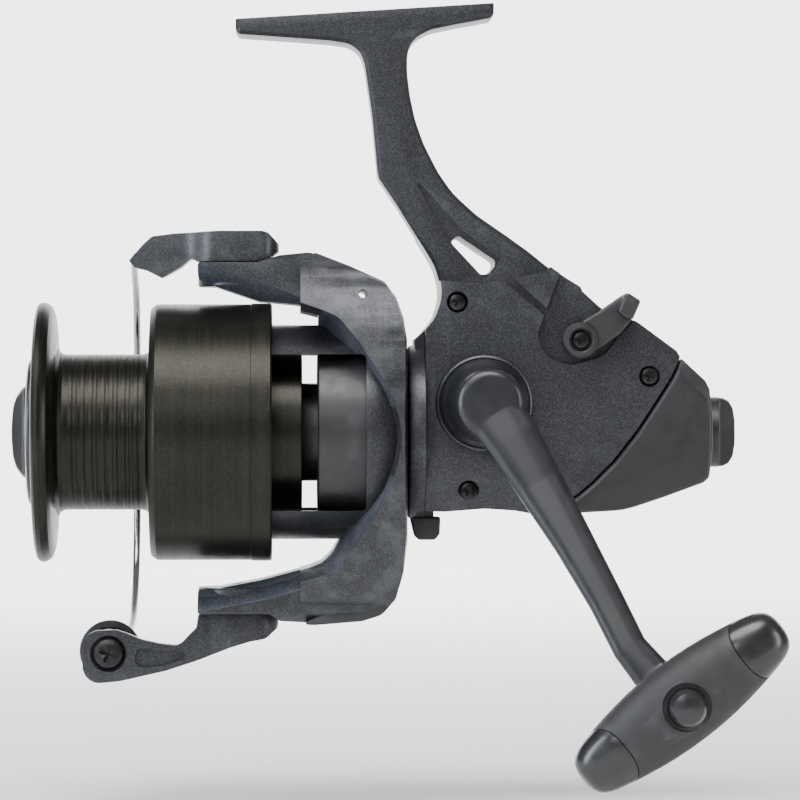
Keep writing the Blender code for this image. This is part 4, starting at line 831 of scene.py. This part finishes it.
bailValues = dict(
    armSide=[(-91.4, 44.4, 0.5), (-87.7, 48.6, 3), (-85.3, 50.7, 1.5), (-79.3, 51.4, 10), (-68, 51.9, 0),
        (-56.7, 51.9, 1), (-55.2, 51.4, 1), (-52.4, 48.4, 1), (-52.4, 46.9, 0.5), (-54.6, 45.4, 1),
        (-57.6, 44.1, 0.6), (-73.4, 44.1, 0.5), (-75.2, 45, 1), (-77.6, 42.8, 3), (-80.3, 41.2, 4),
        (-82.8, 39.9, 0.5), (-86.8, 41.9, 1), (-90, 42.7, 0.5)],
    armTop=[(-52.5, 0, 9), (-52.5, 10.4, 9), (-70, 10.4, 8), (-76, 5.6, 10), (-92.4, 3, 1.5),
        (-92.4, -3, 1.5), (-76, -5.6, 10), (-70, -10.4, 8), (-52.5, -10.4, 9)],
    rollerSide=[(-73.3, -47, 0.4), (-52.6, -47, 0.4), (-52.7, -50.4, 2), (-55.9, -53.2, 2),
        (-59.9, -53.9, 4), (-64.9, -55.4, 8), (-73.2, -58.7, 10), (-81.5, -61.4, 10), (-93.4, -64.1, 5),
        (-103, -65, 7), (-103.2, -51.2, 6.6), (-94.2, -50.9, 3), (-91.1, -52, 4), (-87.8, -53.4, 6),
        (-83.2, -54.4, 6), (-78.2, -55, 3), (-76, -52.6, 3), (-73.8, -50.4, 1)],
    rollerTop=[(-52.5, 10.2, 9), (-73.4, 10.2, 9), (-73.4, -3, 2), (-84, -4.9, 6), (-104, -4.9, 1),
        (-104, -9, 1), (-70, -9, 4), (-66, -10.2, 6), (-52.5, -10.2, 9)],
    pocket=[(-76.5, -56.6, 0.8), (-84, -56, 4), (-89, -55.4, 1), (-90, -60.6, 2), (-83, -60.2, 4),
        (-77, -58.4, 0.8)],
    wirePath=[(-89.3, 3, 43.4), (-90.3, 15, 45.9), (-91.2, 30, 45.8), (-91.5, 45, 41.6),
        (-91.5, 55.6, 36.1), (-91.5, 61.5, 24.8), (-91.5, 65.1, 12.7), (-91.5, 66.3, 0),
        (-91.5, 65.1, -12.7), (-91.5, 61.5, -24.8), (-91.5, 55.6, -36.1), (-91.5, 44, -45.5),
        (-91.8, 29, -51.8), (-93, 17, -54.5), (-95.5, 10, -55.6)],
    wireRadius=0.95,
)


def crossForm(name, side, top, sideSpan, topSpan):  # one outline from the side and one from above
    form = sidePlate(name, side, sideSpan[0], sideSpan[1], 8)
    plan = sidePlate("planForm", top, topSpan[0], topSpan[1], 8, "top")
    combine(form, plan, "INTERSECT")
    return tidyMesh(form)


def makeBail():
    v = bailValues
    arm = crossForm("bailArm", v["armSide"], v["armTop"], (-11, 11), (36, 54))
    edgeBevel(arm, 1.0, 3, 28)
    combine(arm, lathe("armRecess", [(0, 50.2), (4.9, 50.2), (4.9, 60), (0, 60)], at(pivotX, 0, 0), "Z",
        64))
    combine(arm, bore("armRoom", 2.1, 30, 60, "Z", at(pivotX, 0, 0), 32))
    show(arm, paint, "bail", "bail_arm", degrees=30)
    lower = crossForm("rollerArm", v["rollerSide"], v["rollerTop"], (-11, 11), (-70, -40))
    edgeBevel(lower, 0.7, 3, 28)
    combine(lower, sidePlate("armPocket", v["pocket"], -12, -7.9, 12))
    combine(lower, lathe("capRecess", [(0, -12), (4.7, -12), (4.7, -6.8), (2.1, -6.8), (2.1, 0), (0, 0)],
        at(rollerX, 0, rollerZ), "Y", 64))
    combine(lower, lathe("footRecess", [(0, -70), (4.7, -70), (4.7, -51.4), (2.1, -51.4), (2.1, -40),
        (0, -40)], at(pivotX, 0, 0), "Z", 64))
    show(lower, paint, "bail", "roller_arm", degrees=30)
    centre = at(rollerX, 0, rollerZ)
    cone = lathe("wireCone", [(1.9, 2.9), (7.6, 2.9), (8, 3.2), (8, 4.6), (7.4, 6.6), (6, 8.6),
        (4.2, 9.7), (1.9, 9.8)], centre, "Y", 96, True)
    show(cone, satinPlastic, "bail", "wire_cone")
    roller = lathe("lineRoller", [(3.4, -4.5), (6, -4.5), (6.1, -4.1), (5.2, -3.5), (4.7, -2.6),
        (4.4, -1.4), (4.4, -0.2), (4.7, 0.8), (5.4, 1.6), (6.2, 2.1), (6.4, 2.5), (3.4, 2.5)], centre,
        "Y", 96, True)
    show(roller, polishedSteel, "roller", "line_roller")
    crossScrew("rollerScrewHead", centre, "Y", 4.2, -9.5, 1, "bail", "roller_screw")
    show(wire("bailWire", v["wirePath"], v["wireRadius"], 4, 14), polishedSteel, "bail", "bail_wire",
        degrees=60)


# spool and drag

spoolValues = dict(groovePitch=1.05, grooveDepth=0.13, arborFront=-107.6, arborBack=-88.0, arbor=20.15)


def makeSpool():
    v = spoolValues
    arborRun = []
    count = int((v["arborBack"] - v["arborFront"]) / v["groovePitch"])
    for k in range(count):
        x = v["arborBack"] - (k + 0.5) * v["groovePitch"]
        depth = v["grooveDepth"] * (0.6 + 0.4 * math.cos(k * 2.4))
        arborRun += [(v["arbor"], x + 0.20), (v["arbor"] - depth, x + 0.07), (v["arbor"] - depth,
            x - 0.07), (v["arbor"], x - 0.20)]
    profile = [(2.4, -90.5), (2.4, -84.5), (17.6, -84.5), (17.6, -46.8), (17.9, -46.5), (19.7, -46.5),
        (20, -46.8), (20, -82.5), (31.6, -82.5), (31.6, -54.7), (32, -54.3), (33, -54.3), (33.4, -54.7),
        (33.4, -59.6), (33.2, -59.7), (33.2, -84), (32.2, -85.4), (31.9, -85.6), (23, -85.5),
        (21.6, -85.8), (20.6, -86.6), (20.2, -87.6)]
    profile += arborRun
    profile += [(20.2, -108), (20.7, -109), (22, -109.8), (31, -110.6), (32.6, -111.3), (33.4, -112.3),
        (33.7, -113.4), (33.4, -114.4), (32.6, -115), (31.4, -115.3), (24, -115.6), (20.4, -115.3),
        (19.4, -115.2), (16.5, -115.2), (16.5, -90.5)]
    show(lathe("spoolForm", profile, sides=160, closed=True), anodised, "spool_group", "spool",
        degrees=24)
    ring = lathe("frontRing", [(12.9, -117), (13.2, -117.4), (17.6, -117.4), (18.6, -117), (19, -116.2),
        (19, -115.5), (12.9, -115.5)], sides=128, closed=True)
    show(ring, glossBlack, "spool_group", "spool_front_ring")
    knob = lathe("dragKnob", [(0, -121.7), (4, -121.6), (7.4, -121.2), (9.6, -120.4), (11.4, -119),
        (12.2, -117.8), (12.4, -117), (12.4, -111), (10.4, -111), (10.4, -116), (4.2, -116), (4.2, -106),
        (2.4, -106), (2.4, -114.1), (0, -114.1)])
    for side in (-1, 1):
        tool = block("gripSide", (-131.7, 4.6 if side > 0 else -15.0, -20), (-118.0,
            15.0 if side > 0 else -4.6, 20))
        edgeBevel(tool, 1.0, 4)
        combine(knob, tool)
    tidyMesh(knob)
    show(knob, satinPlastic, "drag", "drag_knob", degrees=30)


# handle

handleValues = dict(
    eye=(44.6, -72, -64.7), gripY=-89.5, gripTurn=37.7,
    armPath=[(-0.6, -50, 7.3), (5.3, -52.5, -1.1), (12, -55.6, -12.5), (20.1, -60.4, -26.6),
        (27.7, -65, -40.7), (33.3, -68.8, -52.2), (40.3, -71.6, -60.8)],
    armSize=[(7.4, 3.6), (6.9, 3.6), (6, 3.3), (5, 3), (4.4, 2.9), (4.3, 2.9), (5, 3)],
    stations=[(30.1, 1.2, 1), (29.7, 3.6, 3), (28.7, 5.2, 4.6), (26.6, 6.5, 5.8), (23.2, 7.4, 6.7),
        (17.2, 8.6, 7.6), (9.5, 9.8, 8.3), (0, 10.3, 8.6)],
    split=21.5, aside=0.8,
)


def makeCrank():
    v = handleValues
    hub = lathe("crankForm", [(0, -21.6), (11.2, -21.6), (11.4, -22.2), (11.2, -23.2), (10, -25),
        (9, -27.6), (8.7, -31), (8.6, -52), (8.2, -53.4), (7, -54.2), (0, -54.4)], at(0, 0, handleZ), "Y",
        96)
    eye = Vector(v["eye"])
    path = [Vector(p) for p in v["armPath"]]
    sections = []
    for k, (halfV, halfW) in enumerate(v["armSize"]):
        along = (path[min(k + 1, len(path) - 1)] - path[max(k - 1, 0)]).normalized()
        across = along.cross(Vector((0, -1, 0))).normalized()
        sections.append((tuple(path[k]), halfV, halfW, tuple(across), tuple(along.cross(across))))
    arm = chain("armForm", sections, 0.62, 48)
    combine(hub, arm, "UNION")
    eyeCentre = at(eye.x, 0, eye.z)
    boss = lathe("eyeForm", [(0, -75), (8.2, -75), (9, -74.5), (9.3, -73.5), (9.3, -70.3), (8.6, -69.2),
        (7, -68.7), (0, -68.6)], eyeCentre, "Y", 72)
    combine(hub, boss, "UNION")
    applyModifier(hub, "REMESH", mode="VOXEL", voxel_size=0.42 * mm)
    applyModifier(hub, "SMOOTH", factor=0.5, iterations=6)
    combine(hub, bore("shaftHole", 4.4, -26.2, -10, "Y", at(0, 0, handleZ)))
    combine(hub, bore("eyeHole", 2.6, -90, -60, "Y", eyeCentre))
    show(hub, crankPaint, "handle", "crank", degrees=40)


def makeGrip():
    v = handleValues
    turn = math.radians(v["gripTurn"])
    along = Vector((math.cos(turn), 0, math.sin(turn)))
    across = (-math.sin(turn), 0, math.cos(turn))
    middle = Vector((v["eye"][0], v["gripY"], v["eye"][2])) + Vector(across) * v["aside"]
    axis = at(v["eye"][0], 0, v["eye"][2])
    half = v["stations"]
    run = [(-t, a, d) for t, a, d in half[:-1]] + list(reversed(half))
    sections = [(tuple(middle + along * t), a, d, across, (0, -1, 0)) for t, a, d in run]
    whole = chain("gripForm", sections, 0.86, 64)
    applyModifier(whole, "SUBSURF", levels=1, render_levels=1)
    for name, side, node in (("gripTipUpper", 1, "knob_tip_upper"), ("gripTipLower", -1,
            "knob_tip_lower")):
        activate(whole)
        bpy.ops.object.duplicate()
        tip = bpy.context.object
        tip.name = tip.data.name = name
        lean = Vector((along.x * side, -0.55, along.z * side)).normalized()
        edge = middle + along * side * v["split"]
        slicePiece(tip, at(*edge), -lean)
        applyModifier(tip, "BEVEL", width=0.0003, segments=3, limit_method="ANGLE", angle_limit=0.6)
        show(tip, glossBlack, "knob", node, degrees=40)
        slicePiece(whole, at(*(edge - along * side * 0.25)), lean)
    neck = lathe("neckForm", [(0, -82), (7.4, -82), (7.6, -81), (7.6, -76.1), (7.2, -75.4), (0, -75.4)],
        axis, "Y", 72)
    combine(whole, neck, "UNION")
    ringGroove = lathe("buttonGroove", [(4.9, -110), (5.9, -110), (5.9, -96.4), (4.9, -96.4)], axis, "Y",
        72, True)
    combine(whole, ringGroove)
    combine(whole, bore("buttonRoom", 4.9, -110, -96.9, "Y", axis))
    combine(whole, bore("spindleRoom", 4.5, -110, -50, "Y", axis))
    edgeBevel(whole, 0.3, 3, 40)
    show(whole, gripTexture, "knob", "knob_grip", degrees=38)
    button = lathe("gripButton", [(0, -102.3), (2.2, -102.2), (3.6, -101.7), (4.4, -100.6), (4.6, -99.3),
        (4.6, -97.4), (0, -97.4)], axis, "Y", 72)
    show(button, glossBlack, "knob", "knob_button")


# levers and rear knob

def makeLevers():
    blade = [(24.8, 28.4, 1), (29.6, 31.2, 4), (34.3, 34.5, 3), (36.2, 35.7, 0.8), (39.7, 33.4, 1),
        (37.4, 28.4, 3), (34.9, 25.4, 3), (30.2, 21.9, 2), (25.2, 19.3, 1)]
    form = sidePlate("freeSpoolLever", blade, -21.4, -17.0, 8)
    edgeBevel(form, 0.7, 4)
    paddle = [(33.6, 30.6, 1), (35.4, 35.2, 0.8), (36.4, 35.6, 0.8), (39.6, 33.5, 0.8), (37.2, 28.2, 1)]
    tab = sidePlate("paddleForm", paddle, -26.4, -19.0, 8)
    edgeBevel(tab, 0.8, 4)
    combine(form, tab, "UNION")
    hub = lathe("leverHub", [(0, -22.2), (2.9, -22.2), (3.2, -22.5), (4.2, -22.4), (4.6, -21.9),
        (4.6, -17), (2.1, -17), (2.1, -12), (0, -12)], at(leverX, 0, leverZ), "Y", 72)
    combine(form, hub, "UNION")
    combine(form, lathe("leverRecess", [(0, -30), (2.9, -30), (2.9, -20.4), (1.6, -20.4), (1.6, -11),
        (0, -11)], at(leverX, 0, leverZ), "Y", 48))
    show(form, satinPlastic, "free_lever", "free_spool_lever")
    crossScrew("leverScrewHead", at(leverX, 0, leverZ), "Y", 2.3, -22.2, 1, "free_lever", "lever_screw")
    tabLine = [(-18.6, -22, 0.5), (-17.4, -27, 1.4), (-16.2, -28, 1), (-12, -28, 1.4), (-10.8, -26.4, 1),
        (-10.6, -22, 0.5)]
    stop = sidePlate("stopLever", tabLine, -3.0, 3.0, 8)
    edgeBevel(stop, 0.8, 4)
    combine(stop, block("stopNeckForm", (-16.8, -2, -24), (-12.4, 2, -16.5)), "UNION")
    combine(stop, bore("stopBarrelForm", 1.6, -17.0, -8.4, "X", at(0, 0, -16.5)), "UNION")
    show(stop, satinPlastic, "stop_lever", "anti_reverse_lever")
    knob = lathe("rearKnob", [(0, 66), (4, 65.9), (6.6, 65.4), (8.2, 64.4), (8.9, 63), (9.1, 61.4),
        (9.1, 59.4), (3, 59.4), (3, 47), (0, 47)])
    for side in (-1, 1):
        tool = block("wingSide", (61.2, 2.6 if side > 0 else -12.0, -20), (80.0,
            12.0 if side > 0 else -2.6, 20))
        edgeBevel(tool, 1.2, 4)
        combine(knob, tool)
    show(knob, satinPlastic, "rear_knob", "free_spool_knob")
    cap = lathe("portCap", [(0, 20.6), (5.4, 20.6), (6, 20.8), (7.6, 20.7), (8.6, 20), (9, 19), (9, 18.3),
        (0, 18.3)], at(0, 0, handleZ), "Y", 96)
    show(cap, satinPlastic, "housing", "handle_port_cap")


makeRotor()
print("rotor ready")
makeBail()
print("bail ready")
makeSpool()
print("spool ready")
makeCrank()
makeGrip()
print("handle ready")
makeLevers()
print("levers ready")


# inner pieces keep their CAD shape and get their own finish

innerFinish = {
    groundSteel: """main_shaft drive_shaft guide_rod lay_pivot near_drive_bearing far_drive_bearing
        pinion_bearing one_way_clutch drag_plate_1 drag_plate_2 drag_clip drag_spring bail_spring
        knob_spindle free_spool_plate""",
    castZinc: "drive_gear lay_gear lay_slider click_hub",
    machinedBrass: "pinion_gear rotor_nut knob_bushing_inner knob_bushing_outer",
    feltCloth: "drag_felt_1 drag_felt_2 drag_felt_3",
    nylonWhite: "spool_seat_washer roller_bushing",
}
for material, names in innerFinish.items():
    for name in names.split():
        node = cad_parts[name]
        node.data.materials.clear()
        node.data.materials.append(material)
print("inner finishes ready")


# stage, light and camera

stageValues = dict(floorDrop=0.012, distance=1.1, aim=(-21.06, 0, 8.32), turn=1.5, width=0.208)


def makeStage():
    floorHeight = cadBox[0].z - stageValues["floorDrop"]
    clearSelection()
    bpy.ops.mesh.primitive_plane_add(size=6, location=(0, 0, floorHeight))
    floor = bpy.context.object
    floor.name = "floor"
    bpy.ops.object.transform_apply(location=True)
    setMode("EDIT")
    bpy.ops.mesh.select_mode(type="EDGE")
    bpy.ops.mesh.select_all(action="DESELECT")
    setMode("OBJECT")
    for edge in floor.data.edges:
        edge.select = all(floor.data.vertices[i].co.y > 2.9 for i in edge.vertices)
    setMode("EDIT")
    bpy.ops.mesh.extrude_region_move(TRANSFORM_OT_translate={"value": (0, 0, 4)})
    bpy.ops.mesh.select_all(action="DESELECT")
    setMode("OBJECT")
    for edge in floor.data.edges:
        edge.select = all(v.co.y > 2.9
            and v.co.z < floorHeight + 0.1 for v in (floor.data.vertices[i] for i in edge.vertices))
    setMode("EDIT")
    bpy.ops.mesh.bevel(offset=1.2, segments=16, affect="EDGES")
    setMode("OBJECT")
    pale, tree, shader, coords = startMaterial("paleFloor")
    grain = useGroup(tree, grainGroup, coords, Fine=400.0, Coarse=3.0, Low=0.7, High=0.85)
    join(tree, grain, "Roughness", shader, "Roughness")
    shader.inputs["Base Color"].default_value = (0.93, 0.93, 0.93, 1)
    floor.data.materials.append(pale)
    smoothEdges(floor, 40)


def addLight(name, place, aim, size, sizeY, power, colour=(1, 1, 1)):
    light = bpy.data.lights.new(name, "AREA")
    light.shape = "RECTANGLE"
    light.size, light.size_y, light.energy, light.color = size, sizeY, power, colour
    lamp = bpy.data.objects.new(name, light)
    bpy.context.scene.collection.objects.link(lamp)
    lamp.location = place
    lamp.rotation_euler = (Vector(aim) - Vector(place)).to_track_quat("-Z", "Y").to_euler()
    return lamp


softLights = {  # offset from the reel in metres, width, height, power, colour
    "topSoft": ((-0.15, -0.45, 0.85), 0.9, 0.5, 16),
    "leftSoft": ((-0.95, -0.5, 0.15), 0.3, 0.9, 15, (0.84, 0.90, 1.0)),
    "lowSoft": ((-0.3, -0.7, -0.6), 0.9, 0.3, 5, (0.9, 0.94, 1.0)),
    "rightSoft": ((0.95, -0.55, 0.1), 0.25, 0.8, 6),
    "frontSoft": ((-0.35, -1.2, 0.55), 0.5, 0.4, 4),
}


def makeLights():
    world = bpy.data.worlds.new("softWorld")
    bpy.context.scene.world = world
    world.use_nodes = True
    world.node_tree.nodes["Background"].inputs["Color"].default_value = (1, 1, 1, 1)
    world.node_tree.nodes["Background"].inputs["Strength"].default_value = 0.3
    target = at(-10, 0, 0)
    for name, (offset, *rest) in softLights.items():
        addLight(name, target + Vector(offset), target, *rest)
    addLight("backWash", (0, 1.3, 1.2), (0, 2.6, 0), 3.0, 1.5, 160)


def makeCamera():
    v = stageValues
    lens = bpy.data.cameras.new("camera")
    lens.sensor_width = 36
    lens.lens = 36 * v["distance"] / v["width"]
    lens.clip_end = 20
    camera = bpy.data.objects.new("camera", lens)
    bpy.context.scene.collection.objects.link(camera)
    forward = Vector((math.sin(math.radians(v["turn"])), math.cos(math.radians(v["turn"])), 0))
    camera.location = at(*v["aim"]) - forward * v["distance"]
    camera.rotation_euler = forward.to_track_quat("-Z", "Y").to_euler()
    bpy.context.scene.camera = camera


makeStage()
makeLights()
makeCamera()
print("stage ready")
